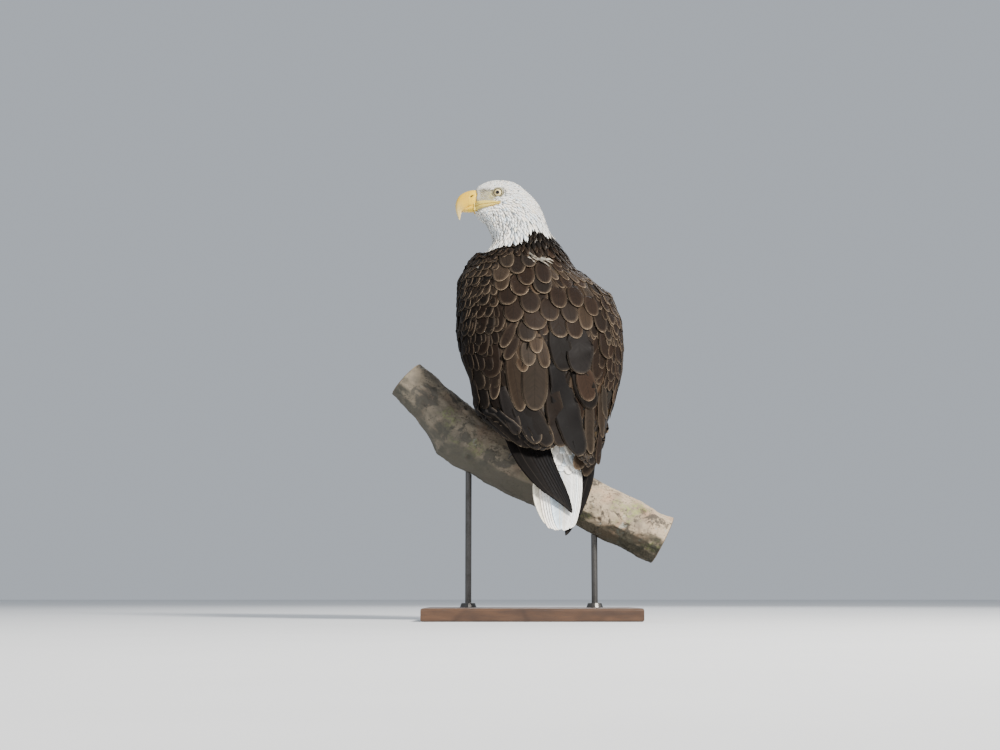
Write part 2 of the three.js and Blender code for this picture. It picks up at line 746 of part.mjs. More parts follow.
// Body: the trunk first, then what lies on it.
const trunkGrown = trunk(GAP);
const wingsGrown = SIDES.map(({ side }) => wing(side, GAP));
add("trunk", trunk(0), "brown");
add("neck", less(neck(0), trunkGrown, ...wingsGrown), "white");
SIDES.forEach(({ side, name }) => add(`wing_${name}`, less(wing(side, 0), trunkGrown), "brown"));
const primariesGrown = SIDES.map(({ side }) => blade(PRIMARIES[side], GAP));
SIDES.forEach(({ side, name }, i) => {
  const other = i ? [primariesGrown[0]] : [];
  add(`primaries_${name}`, less(blade(PRIMARIES[side], 0), trunkGrown, ...wingsGrown, ...other), "darkBrown");
});
add("tail", less(tail(0), trunkGrown, ...wingsGrown, ...primariesGrown), "white");

// Legs: claws, feet, shanks and feathered thighs.
SIDES.forEach(({ side, name }) => {
  TOES.forEach((shape) => add(`claw_${name}_${shape.name}`, less(claw(side, shape, 0), perchGrown), "claw"));
  const clawsGrown = TOES.map((shape) => claw(side, shape, GAP));
  const shankGrown = shank(side, GAP);
  add(`foot_${name}`, less(foot(side), perchGrown, shankGrown, ...clawsGrown), "foot");
  add(`shank_${name}`, less(shank(side, 0), perchGrown, trunkGrown), "foot");
  const others = side === RIGHT ? [thigh(LEFT, GAP)] : [];
  const inside = [trunkGrown, shankGrown, perchGrown, ...wingsGrown, ...primariesGrown, tail(GAP), ...others];
  add(`thigh_${name}`, less(thigh(side, 0), ...inside), "darkBrown");
});

export default group;
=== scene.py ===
"""A perched bald eagle on a cut length of branch, held by a display stand.

One skin takes the place of the flesh, a coat of vanes lies over it, and the bill, eyes, claws, branch
and stand are pieces of their own. Shapes are worked out in millimetres and written in metres.
"""

import math

import bmesh
import bpy
import numpy as np
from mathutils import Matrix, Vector, noise
from mathutils.bvhtree import BVHTree


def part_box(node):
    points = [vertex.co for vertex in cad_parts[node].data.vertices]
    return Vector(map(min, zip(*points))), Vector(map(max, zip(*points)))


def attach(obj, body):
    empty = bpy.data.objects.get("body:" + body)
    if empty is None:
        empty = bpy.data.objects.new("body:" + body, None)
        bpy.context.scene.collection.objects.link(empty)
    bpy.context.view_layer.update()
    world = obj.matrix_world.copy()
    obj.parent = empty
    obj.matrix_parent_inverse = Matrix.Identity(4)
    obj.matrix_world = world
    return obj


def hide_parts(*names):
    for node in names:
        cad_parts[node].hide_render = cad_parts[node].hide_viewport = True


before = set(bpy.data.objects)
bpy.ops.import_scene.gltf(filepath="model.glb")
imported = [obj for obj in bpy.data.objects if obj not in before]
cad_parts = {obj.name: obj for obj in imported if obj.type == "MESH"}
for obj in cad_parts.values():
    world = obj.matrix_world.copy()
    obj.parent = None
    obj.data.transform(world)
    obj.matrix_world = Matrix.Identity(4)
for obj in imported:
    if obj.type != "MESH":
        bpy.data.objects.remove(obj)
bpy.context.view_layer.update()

MM = 0.001
LEFT, RIGHT = -1, 1
SIDE_NAMES = {LEFT: "left", RIGHT: "right"}

# ---------------------------------------------------------------- the bird's own coordinates

YAW = math.radians(25)  # the breast faces away and to the left
FEET = (2, 12, 325)  # midpoint between the feet, on top of the branch
HEAD_Y = 38  # the head's middle plane
HEAD_AT = (-61, 834)  # x and z of the head's origin
HEAD_SCALE = 1.955  # mm for each unit of the head
EYE = {"forward": 0, "up": -4.0, "right": 11.6}  # its centre, in units of the head
EYE_RADIUS = 9.8  # mm

# The body in level slices: height over the feet, middle (forward), half width, depth behind, depth in
# front, shift to the right.
HULL = np.array([
    [412, 42, 50, 44, 50, 0],
    [402, 40, 70, 58, 60, -3],
    [386, 38, 91, 70, 74, -4],
    [371, 35, 103, 78, 84, -6],
    [347, 27, 129, 90, 97, -1],
    [324, 11, 150, 97, 109, 8],
    [300, -7, 158, 101, 119, 8],
    [276, -22, 165, 103, 128, 8],
    [253, -32, 166, 104, 134, 6],
    [230, -39, 166, 104, 136, 2],
    [184, -50, 168, 102, 134, -2],
    [138, -62, 160, 95, 122, -4],
    [92, -71, 147, 83, 104, -9],
    [46, -83, 136, 70, 86, -17],
    [1, -106, 103, 54, 60, -6],
    [-45, -128, 78, 38, 42, 2],
    [-85, -142, 60, 28, 30, 0],
], float)

rng = np.random.default_rng(20)


def smooth(value):
    value = np.clip(value, 0.0, 1.0)
    return value * value * (3 - 2 * value)


def lerp(a, b, share):
    return a + (b - a) * share


def bump_at(value, middle, reach):
    """A soft bump, 1 at the middle and nearly 0 at twice the reach from it."""
    return np.exp(-(((value - middle) / reach) ** 2))


def power(values, exponent):
    return np.sign(values) * np.abs(values) ** exponent


def unit(vectors):
    length = np.linalg.norm(vectors, axis=-1, keepdims=True)
    return vectors / np.maximum(length, 1e-9)


def bird_point(forward, right, up):
    """The point at that many millimetres forward, right and up from between the feet."""
    forward, right, up = np.broadcast_arrays(*(np.asarray(v, float) for v in (forward, right, up)))
    return np.stack([
        FEET[0] - forward * math.sin(YAW) + right * math.cos(YAW),
        FEET[1] + forward * math.cos(YAW) + right * math.sin(YAW),
        FEET[2] + up,
    ], -1)


def bird_place(points):
    """Forward, right and up of points given in millimetres."""
    x, y = points[..., 0] - FEET[0], points[..., 1] - FEET[1]
    forward = -x * math.sin(YAW) + y * math.cos(YAW)
    right = x * math.cos(YAW) + y * math.sin(YAW)
    return forward, right, points[..., 2] - FEET[2]


FORWARD = bird_point(1, 0, 0) - bird_point(0, 0, 0)
SIDEWAYS = bird_point(0, 1, 0) - bird_point(0, 0, 0)


def hull_row(level):
    """The body's slice at a height: middle, half width, depth behind and in front, shift."""
    keys = HULL[::-1, 0]
    return [np.interp(level, keys, HULL[::-1, column]) for column in range(1, 6)]


def round_body(points):
    """Degrees round the body from the middle of the back, to the right, and height over the feet."""
    forward, right, up = bird_place(points)
    middle, half, back, front, shift = hull_row(up)
    depth = np.where(forward < middle, back, front)
    return np.degrees(np.arctan2((right - shift) / half, -(forward - middle) / depth)), up


def body_guess(turn, up):
    """A point near the body's outside at that many degrees from the middle of the back."""
    middle, half, back, front, shift = hull_row(up)
    angle = np.radians(turn)
    depth = np.where(np.abs(turn) < 90, back, front)
    return bird_point(middle - depth * np.cos(angle), shift + half * np.sin(angle), up)


def head_point(forward, up, right):
    """The point at that many units forward, up and right in the turned head."""
    forward, up, right = np.broadcast_arrays(*(np.asarray(v, float) for v in (forward, up, right)))
    return np.stack([
        HEAD_AT[0] - HEAD_SCALE * forward, HEAD_Y + HEAD_SCALE * right, HEAD_AT[1] + HEAD_SCALE * up,
    ], -1)


def head_place(points):
    """Forward, up and right of points in units of the head."""
    return (
        (HEAD_AT[0] - points[..., 0]) / HEAD_SCALE,
        (points[..., 2] - HEAD_AT[1]) / HEAD_SCALE,
        (points[..., 1] - HEAD_Y) / HEAD_SCALE,
    )


def from_eye(forward, high):
    """Distance from the eye's centre in the side view of the head."""
    return np.hypot(forward - EYE["forward"], high - EYE["up"])


def eye_centre(side):
    """The middle of an eye's ball, in millimetres."""
    return head_point(EYE["forward"], EYE["up"], side * EYE["right"])


def eye_axes(side):
    """The way the eye looks, and the ways across and above it."""
    gaze = unit(np.array([-0.16, side * 1.0, 0.02]))
    across = unit(np.cross(gaze, [0, 0, 1]))
    return gaze, across, np.cross(across, gaze)


# ---------------------------------------------------------------- meshes

FLESH = [
    "head", "neck", "trunk", "wing_left", "wing_right", "thigh_left", "thigh_right",
    "shank_left", "shank_right", "foot_left", "foot_right",
]


def new_object(name, points, faces):
    """An object of points in millimetres; faces is an array of quads or a list of loops."""
    mesh = bpy.data.meshes.new(name)
    points = np.asarray(points, float) * MM
    if isinstance(faces, np.ndarray):
        count, sides = faces.shape
        mesh.vertices.add(len(points))
        mesh.vertices.foreach_set("co", points.astype(np.float32).ravel())
        mesh.loops.add(count * sides)
        mesh.loops.foreach_set("vertex_index", faces.astype(np.int32).ravel())
        mesh.polygons.add(count)
        mesh.polygons.foreach_set("loop_start", np.arange(0, count * sides, sides, dtype=np.int32))
        mesh.update(calc_edges=True)
    else:
        mesh.from_pydata([tuple(p) for p in points], [], [tuple(f) for f in faces])
    mesh.polygons.foreach_set("use_smooth", [True] * len(mesh.polygons))
    piece = bpy.data.objects.new(name, mesh)
    bpy.context.scene.collection.objects.link(piece)
    return piece


def add_values(piece, name, values, kind="FLOAT"):
    """Gives each point of a piece a value, vector or colour, which its material reads by that name."""
    field = {"FLOAT": "value", "FLOAT_VECTOR": "vector", "FLOAT_COLOR": "color"}[kind]
    layer = piece.data.attributes.new(name, kind, "POINT")
    layer.data.foreach_set(field, np.asarray(values, np.float32).ravel())


def arrays_of(mesh):
    """The mesh's points in millimetres and its faces."""
    points = np.zeros(len(mesh.vertices) * 3, np.float32)
    mesh.vertices.foreach_get("co", points)
    return points.reshape(-1, 3).astype(float) / MM, [tuple(p.vertices) for p in mesh.polygons]


def remeshed(names, voxel, more=()):
    """One closed surface round the named solids and more, as points in millimetres and faces."""
    points, faces = [], []
    for own, loops in [arrays_of(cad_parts[name].data) for name in names] + list(more):
        faces += [tuple(i + sum(len(p) for p in points) for i in loop) for loop in loops]
        points.append(own)
    work = new_object("work", np.concatenate(points), faces)
    grid = work.modifiers.new("grid", "REMESH")
    grid.mode, grid.voxel_size = "VOXEL", voxel * MM
    result = work.evaluated_get(bpy.context.evaluated_depsgraph_get())
    points, faces = arrays_of(result.to_mesh())
    result.to_mesh_clear()
    mesh = work.data
    bpy.data.objects.remove(work)
    bpy.data.meshes.remove(mesh)
    return points, faces


def noise_at(points, size, seed, octaves=1):
    """Smooth noise, about -1 to 1, with features of that size in millimetres."""
    shift = Vector((seed * 17.3, seed * 5.1, seed * 9.7))
    return np.array([noise.fractal(Vector(p) / size + shift, 0.9, 2.1, octaves) for p in points])


def edges_of(faces):
    """Pairs of points that share an edge."""
    pairs = {tuple(sorted((loop[i], loop[i - 1]))) for loop in faces for i in range(len(loop))}
    return np.array(sorted(pairs))


EASE_IN, EASE_BACK = 0.55, -0.56  # how far a point moves to its neighbours' middle, and back


def eased(points, edges, weight, rounds):
    """Evens out facets without shrinking: each point moves toward its neighbours, then back again."""
    a, b = edges[:, 0], edges[:, 1]
    count = np.bincount(a, minlength=len(points)) + np.bincount(b, minlength=len(points))
    for turn in range(rounds):
        pull = EASE_BACK if turn % 2 else EASE_IN
        total = np.stack([
            np.bincount(a, points[b, k], len(points)) + np.bincount(b, points[a, k], len(points))
            for k in range(3)
        ], -1)
        points = points + (total / count[:, None] - points) * (weight * pull)[:, None]
    return points


def normals_of(points, faces):
    """Outward directions at the points of a closed surface of quads and triangles."""
    quads = np.array([loop if len(loop) == 4 else (*loop, loop[-1]) for loop in faces])
    across = points[quads[:, 2]] - points[quads[:, 0]]
    along = points[quads[:, 3]] - points[quads[:, 1]]
    flat = np.cross(across, along)
    total = np.stack([
        sum(np.bincount(quads[:, corner], flat[:, k], len(points)) for corner in range(4)) for k in range(3)
    ], -1)
    normals = unit(total)
    return normals if normals[points[:, 2].argmax(), 2] > 0 else -normals


TRIALS = 7  # points tried for each one that may stay, when they are spread over a surface


class Surface:
    """A closed surface that vanes are laid on."""

    def __init__(self, points, faces):
        self.points, self.faces = points, faces
        self.tree = BVHTree.FromPolygons([Vector(p) for p in points], faces)

    def nearest(self, point):
        """The surface's place nearest to a point, and its normal there."""
        place, normal, _, _ = self.tree.find_nearest(Vector(point))
        return np.array(place), np.array(normal)

    def hit(self, start, direction):
        """Where a ray meets the surface: place, normal and distance, or three times None."""
        place, normal, _, distance = self.tree.ray_cast(Vector(start), Vector(direction))
        return (np.array(place), np.array(normal), distance) if place else (None, None, None)

    def samples(self, spacing, keep, seed):
        """Points spread evenly over the part that keep() takes, spacing() apart."""
        draw = np.random.default_rng(seed)
        corners = np.array([loop[:3] for loop in self.faces])
        second = np.array([[loop[0], loop[2], loop[3]] for loop in self.faces if len(loop) == 4])
        corners = np.concatenate([corners, second])
        a, b, c = (self.points[corners[:, k]] for k in range(3))
        centre = (a + b + c) / 3
        inside = keep(centre)
        a, b, c, centre = a[inside], b[inside], c[inside], centre[inside]
        area = np.linalg.norm(np.cross(b - a, c - a), axis=1) / 2
        wish = area * TRIALS / spacing(centre) ** 2
        number = draw.poisson(wish)
        which = draw.permutation(np.repeat(np.arange(len(a)), number))
        u, v = draw.random(len(which)), draw.random(len(which))
        fold = u + v > 1
        u[fold], v[fold] = 1 - u[fold], 1 - v[fold]
        points = a[which] + (b - a)[which] * u[:, None] + (c - a)[which] * v[:, None]
        apart = spacing(points)
        cell = float(apart.max())
        kept, cells = [], {}
        for i, (point, gap) in enumerate(zip(points, apart)):
            key = tuple((point // cell).astype(int))
            near = (
                other
                for dx in (-1, 0, 1) for dy in (-1, 0, 1) for dz in (-1, 0, 1)
                for other in cells.get((key[0] + dx, key[1] + dy, key[2] + dz), ())
            )
            if all(((points[o] - point) ** 2).sum() > gap * gap for o in near):
                cells.setdefault(key, []).append(i)
                kept.append(i)
        return points[kept]


# ---------------------------------------------------------------- the form under the coat


SADDLE_REACH = [-10, 70, 160, 250, 350], [13, 12, 16, 30, 46]  # heights, degrees from the back's middle
SADDLE_DEPTHS = (2.2, 15.0)  # mm under the body's outside


def saddle():
    """A block that closes the furrow between the folded wings, just under their outer faces."""
    ups = np.linspace(350, -6, 30)
    turns = np.linspace(-1, 1, 13)
    reach = np.interp(ups, *SADDLE_REACH)
    grids = []
    for inset in SADDLE_DEPTHS:
        rows = []
        for up, wide in zip(ups, reach):
            middle, half, back, _, shift = hull_row(up)
            angle = np.radians(turns * wide)
            rows.append(bird_point(
                middle - (back - inset) * np.cos(angle) ** 0.93,
                shift + (half - inset) * power(np.sin(angle), 0.93), up,
            ))
        grids.append(np.array(rows))
    rows, columns = grids[0].shape[:2]
    index = np.arange(2 * rows * columns).reshape(2, rows, columns)
    faces = []
    for grid, flip in ((index[0], 1), (index[1], -1)):
        for i in range(rows - 1):
            for j in range(columns - 1):
                faces.append((grid[i, j], grid[i, j + 1], grid[i + 1, j + 1], grid[i + 1, j])[::flip])
    ring = [(0, j) for j in range(columns)] + [(i, columns - 1) for i in range(1, rows)]
    ring += [(rows - 1, j) for j in range(columns - 2, -1, -1)] + [(i, 0) for i in range(rows - 2, 0, -1)]
    for here, after in zip(ring, ring[1:] + ring[:1]):
        faces.append((index[0][after], index[0][here], index[1][here], index[1][after]))
    return np.concatenate([grid.reshape(-1, 3) for grid in grids]), [tuple(map(int, face)) for face in faces]


def head_way(forward, up, right):
    """A direction in the head as millimetres for each unit of it."""
    return head_point(forward, up, right) - head_point(0, 0, 0)


FLESH_GRID, EASE_ROUNDS = 2.6, 44


def form_of_flesh():
    """The flesh as one closed surface, evened out, with the forehead and the nape a little slimmer."""
    points, faces = remeshed(FLESH, FLESH_GRID, [saddle()])
    _, _, up = bird_place(points)
    _, high, _ = head_place(points)
    ease = lerp(smooth((up - 30) / 80) * 0.9 + 0.1, 0.9, smooth((high + 62) / 14))
    ease = np.where(up < 66, 0.35, ease)
    points = eased(points, edges_of(faces), ease, EASE_ROUNDS)
    forward, high, _ = head_place(points)
    lower = (0.4 + 1.6 * bump_at(forward, 18, 6)) * smooth(high / 3.5) * smooth(forward / 8)
    points = points + lower[:, None] * head_way(0, -1, 0)
    slim = 1.5 * bump_at(np.hypot(forward + 27, high + 1), 0, 11)
    return Surface(points + slim[:, None] * head_way(0.85, -0.5, 0), faces)


form = form_of_flesh()

HOOD_EDGE = np.array([  # degrees round the body from the back's middle, height over the feet
    [-180, 350], [-120, 352], [-90, 366], [-70, 376], [-50, 384], [-30, 389], [-16, 402], [-8, 417], [6, 416],
    [18, 411], [30, 411], [60, 414], [90, 405], [120, 382], [180, 350],
], float)


def hood_edge(turn):
    """Height over the feet where white meets brown, round the neck."""
    return np.interp(turn, HOOD_EDGE[:, 0], HOOD_EDGE[:, 1])


THIGH_ENDS = [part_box(name)[0][2] / MM - FEET[2] for name in ("thigh_left", "thigh_right")]
BETWEEN_FEET = (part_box("foot_left")[1][0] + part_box("foot_right")[0][0]) / 2 / MM


def thigh_end(points):
    """Height over the feet where the thigh's feathers end, for the leg that is nearer."""
    return np.where(points[..., 0] < BETWEEN_FEET, *THIGH_ENDS)


def on_legs(points):
    """1 on the bare shanks and feet, fading out into the thigh's feathers."""
    forward, _, up = bird_place(points)
    return smooth((thigh_end(points) + 8 - up) / 6) * smooth((forward + 60) / 4)


BODY_COAT = 3.4  # mm from the outside to the skin, under the brown feathers


def depth_of_coat(points):
    """How far under the outside the skin lies."""
    forward, high, _ = head_place(points)
    face = smooth((forward - 3) / 9) * smooth((high + 26) / 8)
    head = lerp(1.0, 2.4, smooth((-8 - high) / 34)) * (1 - 0.85 * face)
    depth = lerp(BODY_COAT, head, smooth((high + 62) / 18))
    return depth * (1 - on_legs(points))


# ---------------------------------------------------------------- vanes

# Each vane has a map of its own, "vane", in which its material sees how far a place lies from the base and
# the shaft, and a patch of the skin's unwrap, "OFBake".
BAKE_PATCH = 0.003  # side of each vane's patch on the unwrap of the skin
VANE_UV = 0.01  # a millimetre on a vane, in its own map


def skin_map(points):
    """Place of points on an unwrap of the skin: round the body by height, with the head and legs apart."""
    turn, up = round_body(points)
    forward, high, right = head_place(points)
    body = np.stack([0.02 + 0.62 * (turn + 180) / 360, 0.02 + 0.94 * (up + 190) / 620], -1)
    angle = np.arctan2(right, 6 - forward)
    reach = np.hypot(right, 6 - forward)
    head = np.stack([
        0.83 + 0.13 * (angle / math.pi) + 0.0012 * (reach - 14),
        0.70 + 0.26 * (high + 86) / 104,
    ], -1)
    on_neck = high > -84
    return np.where(on_neck[..., None], head, body)


def vane_outline(share, base, widest, blunt, point):
    """Half width along a vane, 0 to 1: from its base to its widest part, then round or pointed."""
    rise = lerp(base, 1, smooth(share / widest))
    fall = np.clip((share - widest) / (1 - widest), 0, 1)
    return np.maximum(rise * (1 - fall**blunt) ** (1 / point), 0.035)


SHAPES = {  # width at the base, widest place, how blunt the end is and how full
    "round": (0.42, 0.50, 2.3, 2.0),
    "scale": (0.50, 0.42, 2.6, 2.1),
    "long": (0.55, 0.45, 3.4, 2.0),
    "hackle": (0.50, 0.30, 1.35, 1.15),
    "flight": (0.60, 0.55, 4.2, 2.1),
    "finger": (0.75, 0.35, 2.4, 1.3),
    "tail": (0.55, 0.62, 2.7, 1.6),
}

USUAL_WIDTH = 24  # mm, of a vane whose border is as wide as its finish says
SIDE_FRINGE = 0.24  # how strong the pale border is along a vane's sides, beside its end


class Coat:
    """Gathers vanes and joins them into one mesh of thin closed blades."""

    def __init__(self, name):
        self.name = name
        self.points, self.faces, self.vane_uv, self.bake_uv = [], [], [], []
        self.tint, self.rim, self.draw = [], [], []
        self.count = 0
        self.layouts = {}

    def layout(self, rows, columns):
        """Faces of a closed blade: a top grid, and a bottom one that shares its border."""
        if (rows, columns) not in self.layouts:
            top = np.arange((rows + 1) * (columns + 1)).reshape(rows + 1, columns + 1)
            below = top.copy()
            inner = (rows - 1) * (columns - 1)
            below[1:-1, 1:-1] = top.size + np.arange(inner).reshape(rows - 1, columns - 1)

            def quads(grid, flip):
                corners = [grid[:-1, :-1], grid[:-1, 1:], grid[1:, 1:], grid[1:, :-1]]
                return np.stack([c.ravel() for c in (corners[::-1] if flip else corners)], -1)

            self.layouts[rows, columns] = np.concatenate([quads(top, False), quads(below, True)])
        return self.layouts[rows, columns]

    def blade(self, grid, normals, thick, along, across, tint, pale, draw, root, width):
        """Adds a blade over a grid of points; along and across are distances from its base and shaft."""
        rows, columns = grid.shape[0] - 1, grid.shape[1] - 1
        below = (grid - normals * thick)[1:-1, 1:-1]
        self.points.append(np.concatenate([grid.reshape(-1, 3), below.reshape(-1, 3)]))
        self.faces.append(self.layout(rows, columns) + self.count)
        length = along.max()
        half = np.abs(across).max(axis=1, keepdims=True)
        rim = np.minimum(half - np.abs(across), np.maximum(length - along, 0))
        rim = rim / np.clip(width / USUAL_WIDTH, 0.35, 1.1)  # small vanes have narrower borders

        def both(values):
            flat = values.reshape((-1,) + values.shape[2:])
            return np.concatenate([flat, values[1:-1, 1:-1].reshape((-1,) + values.shape[2:])])

        self.vane_uv.append(both(np.stack([0.5 + across * VANE_UV, along * VANE_UV], -1)))
        place = skin_map(root[None])[0]
        share = np.stack([across / max(half.max(), 1e-6) / 2, along / length - 0.5], -1)
        self.bake_uv.append(both(place + share * BAKE_PATCH))
        self.rim.append(both(rim))
        total = len(self.points[-1])
        ends = both(lerp(SIDE_FRINGE, 1, smooth((along / length - 0.5) / 0.4)))
        self.tint.append(np.concatenate([np.tile(tint, (total, 1)), (pale * ends)[:, None]], 1))
        self.draw.append(np.full(total, draw))
        self.count += total

    def piece(self, slot, material, replaces=()):
        """Makes the coat's mesh, with the maps and values that its material reads."""
        points, faces = np.concatenate(self.points), np.concatenate(self.faces)
        made = new_object(self.name, points, faces)
        mesh = made.data
        corner = faces.ravel()
        for name, values in (("vane", self.vane_uv), ("OFBake", self.bake_uv)):
            layer = mesh.uv_layers.new(name=name)
            layer.data.foreach_set("uv", np.concatenate(values)[corner].astype(np.float32).ravel())
        add_values(made, "tint", np.concatenate(self.tint), "FLOAT_COLOR")
        add_values(made, "rim", np.concatenate(self.rim))
        add_values(made, "draw", np.concatenate(self.draw))
        mesh.materials.append(material)
        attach(made, "root")
        if replaces:
            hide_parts(*replaces)
        return made


def walk(root, direction, steps, lie=None, past_edge=True):
    """Follows the form from a point; lie gives the way to turn to at each place.

    With past_edge it runs straight on where the form ends or folds away, and without it only where
    the form is far off. Gives back places, normals and headings.
    """
    place, normal = form.nearest(root)
    heading = unit(direction - normal * np.dot(direction, normal))
    places, normals, headings = [place], [normal], [heading]
    for step in steps:
        target = place + heading * step
        found, turned = form.nearest(target)
        off = np.linalg.norm(found - target)
        leaves = past_edge and (off > 0.5 * step + 1.2 or turned.dot(normal) < 0.55)
        if leaves or off > 1.5 * step + 3:
            place = target
        else:
            heading = unit(found - place)
            place, normal = found, turned
            if lie is not None:
                wish = lie(place)
                wish = unit(wish - normal * np.dot(wish, normal))
                heading = unit(heading + 0.5 * wish)
        places.append(place)
        normals.append(normal)
        headings.append(heading)
    return np.array(places), np.array(normals), np.array(headings)


def evened(grid, rounds):
    """A grid of vectors with each one drawn toward its neighbours."""
    for _ in range(rounds):
        for axis in (0, 1):
            lines = np.moveaxis(grid, axis, 0)
            middle = 0.25 * lines[:-2] + 0.5 * lines[1:-1] + 0.25 * lines[2:]
            grid = np.moveaxis(np.concatenate([lines[:1], middle, lines[-1:]]), 0, axis)
    return grid


BIG_ROWS = 15  # a vane with more rows than this is evened out more, over the joints of the form


def lay_vane(coat, root, direction, length, width, shape, tint, pale, grid, sunk, lift, cup, thick, roll=0.0,
             curl=0.0, bend=0.0, lie=None, hug=True, edge_wave=0.0, from_tip=False, straight=False):
    """Lays one vane along the form, rising from sunk under it at the root to lift over it at the tip.

    It is followed from its root, or with from_tip from its tip back to its root. A straight one
    leaves the form and runs on in its direction. With hug, every point keeps to the form.
    """
    rows, columns = grid
    shares = np.sin(np.linspace(0, 1, rows + 1) * math.pi / 2) ** 0.9
    steps = np.diff(shares) * length
    if straight:
        _, normal = form.nearest(root)
        headings = np.tile(unit(direction), (rows + 1, 1))
        places = root + headings * (shares * length)[:, None]
        normals = np.tile(unit(normal - headings[0] * np.dot(normal, headings[0])), (rows + 1, 1))
    elif from_tip:
        places, normals, headings = (line[::-1] for line in walk(root, direction, steps[::-1], lie, False))
        headings = -headings
    else:
        places, normals, headings = walk(root, direction, steps, lie)
    sides = unit(np.cross(headings, normals))
    half = vane_outline(shares, *SHAPES[shape]) * width / 2
    if edge_wave:
        half = half * (1 + edge_wave * rng.normal(size=rows + 1) * (shares > 0.3))
    ways = np.linspace(-1, 1, columns + 1)
    across = half[:, None] * ways[None]
    along = np.repeat((shares * length)[:, None], columns + 1, 1)
    points = places[:, None] + sides[:, None] * (across + bend * (shares**2)[:, None] * width)[..., None]
    turned = np.repeat(normals[:, None], columns + 1, 1)
    if hug:
        shift = np.zeros_like(points)
        for i in range(rows + 1):
            for j in range(columns + 1):
                found, normal = form.nearest(points[i, j])
                off = np.linalg.norm(found - points[i, j])
                if off < 0.18 * abs(across[i, j]) + 1.6 and normal.dot(normals[i]) > 0.6:
                    shift[i, j], turned[i, j] = found - points[i, j], normal
        rounds = 8 if rows > BIG_ROWS else 2
        points = points + evened(shift, rounds)
        turned = unit(evened(turned, rounds))
    height = lerp(-sunk, lift, shares**0.85) + curl * shares**4
    level = height[:, None] - cup * np.abs(across) ** 1.5 / max(width, 1) ** 0.5 + roll * across
    points = points + turned * level[..., None]
    coat.blade(points, turned, thick, along, across, tint, pale, rng.random(), places[0], width)


# ---------------------------------------------------------------- colours of the plumage and the bare skin

WHITE = np.array([0.86, 0.85, 0.81])
DARK = np.array([0.0088, 0.0066, 0.0054])
BROWN = np.array([0.0168, 0.0106, 0.0073])
PALE_BROWN = np.array([0.0300, 0.0206, 0.0138])
RUFOUS = np.array([0.0330, 0.0200, 0.0135])
BLACKISH = np.array([0.0085, 0.0073, 0.0070])
SLATE = np.array([0.0125, 0.0105, 0.0097])
WISP = np.array([0.34, 0.31, 0.26])
FOOT_YELLOW = np.array([0.62, 0.36, 0.045])
LORES = np.array([0.45, 0.405, 0.26])
GREENISH = np.array([0.52, 0.47, 0.19])
RIM_GREY = np.array([0.17, 0.15, 0.095])
# painted shadow: the dark line under the brow ridge
BROW_PAINTED_SHADOW = np.array([0.13, 0.12, 0.085])


def varied(colour, amount=0.18):
    """The colour a little lighter or darker, and a little warmer or cooler."""
    shade = 1 + amount * rng.normal()
    warm = 1 + 0.06 * rng.normal()
    return np.clip(colour * max(shade, 0.4) * np.array([warm, 1, 2 - warm]), 0, 0.92)


def head_lie(point):
    """Back from the bill over the crown and cheeks, then down the neck."""
    forward, high, right = (float(v) for v in head_place(point))
    down = smooth((-high - 4) / 34) * 0.9 + 0.12 + 0.5 * smooth((8 - forward) / 40) * (high < 6)
    back = lerp(1.0, 0.12, smooth((-high - 14) / 30))
    return np.array([back, 0.03 * np.sign(right), -down])


# ---------------------------------------------------------------- white plumage

white_coat = Coat("white_plumage")
brown_coat_back = Coat("brown_plumage_back")
brown_coat_side = Coat("brown_plumage_wings")
brown_coat_front = Coat("brown_plumage_front")


def is_hood(points, reach=0.0):
    """Where the white of the head and neck is, as far down as reach over the hood's edge."""
    turn, up = round_body(points)
    return up > hood_edge(turn) + reach


def face_bare(forward, high, right):
    """1 on the bare face: round the eye, before it and along the gape."""
    eye = from_eye(forward, high) < 6.0
    ragged = 0.55 * np.sin(2.9 * high + 1.3 * forward) + 0.45 * np.sin(4.3 * high - 3.1 * forward)
    lores = (forward > 3 + ragged + 0.25 * np.maximum(-9 - high, 0)) & (forward < 22) & (high > -15)
    lores &= high < 0.1 + 0.04 * forward + 0.5 * ragged
    gape = (high > -16.8 - 0.18 * (forward + 2)) & (high < -12.6 + 0.1 * (forward + 2)) & (forward > -2.5)
    bill = forward > 21
    return eye | (lores & (np.abs(right) > 5)) | gape | bill


def head_spacing(points):
    """Millimetres between vanes: close on the face, wider on the crown and widest down the neck."""
    forward, high, _ = head_place(points)
    face = smooth((forward + 6) / 20) * smooth((high + 34) / 16)
    return lerp(lerp(3.2, 1.6, face), 5.4, smooth((-high - 12) / 34))


def keep_head(points):
    """The white of the head and the neck, but for the bare face and the bill."""
    forward, high, right = head_place(points)
    return (high > -84) & is_hood(points, 17) & ~face_bare(forward, high, right)


head_roots = form.samples(head_spacing, keep_head, 5)
for root, gap in zip(head_roots, head_spacing(head_roots)):
    size = gap * (1 + 0.12 * rng.normal())
    neck = smooth((gap - 3.6) / 3)
    direction = head_lie(root) + 0.10 * rng.normal(size=3)
    lay_vane(
        white_coat, root, direction, size * lerp(3.4, 5.0, neck), size * 2.0,
        "hackle" if gap > 3.0 else "round", varied(WHITE, 0.015), 0.0, grid=(4, 2) if gap < 3 else (5, 2),
        sunk=lerp(0.6, 1.1, neck), lift=lerp(0.15, 0.25, neck) + 0.15 * rng.random(), cup=0.035,
        thick=lerp(0.08, 0.12, neck), hug=False, lie=head_lie if gap > 3 else None,
    )

# ---------------------------------------------------------------- brown plumage

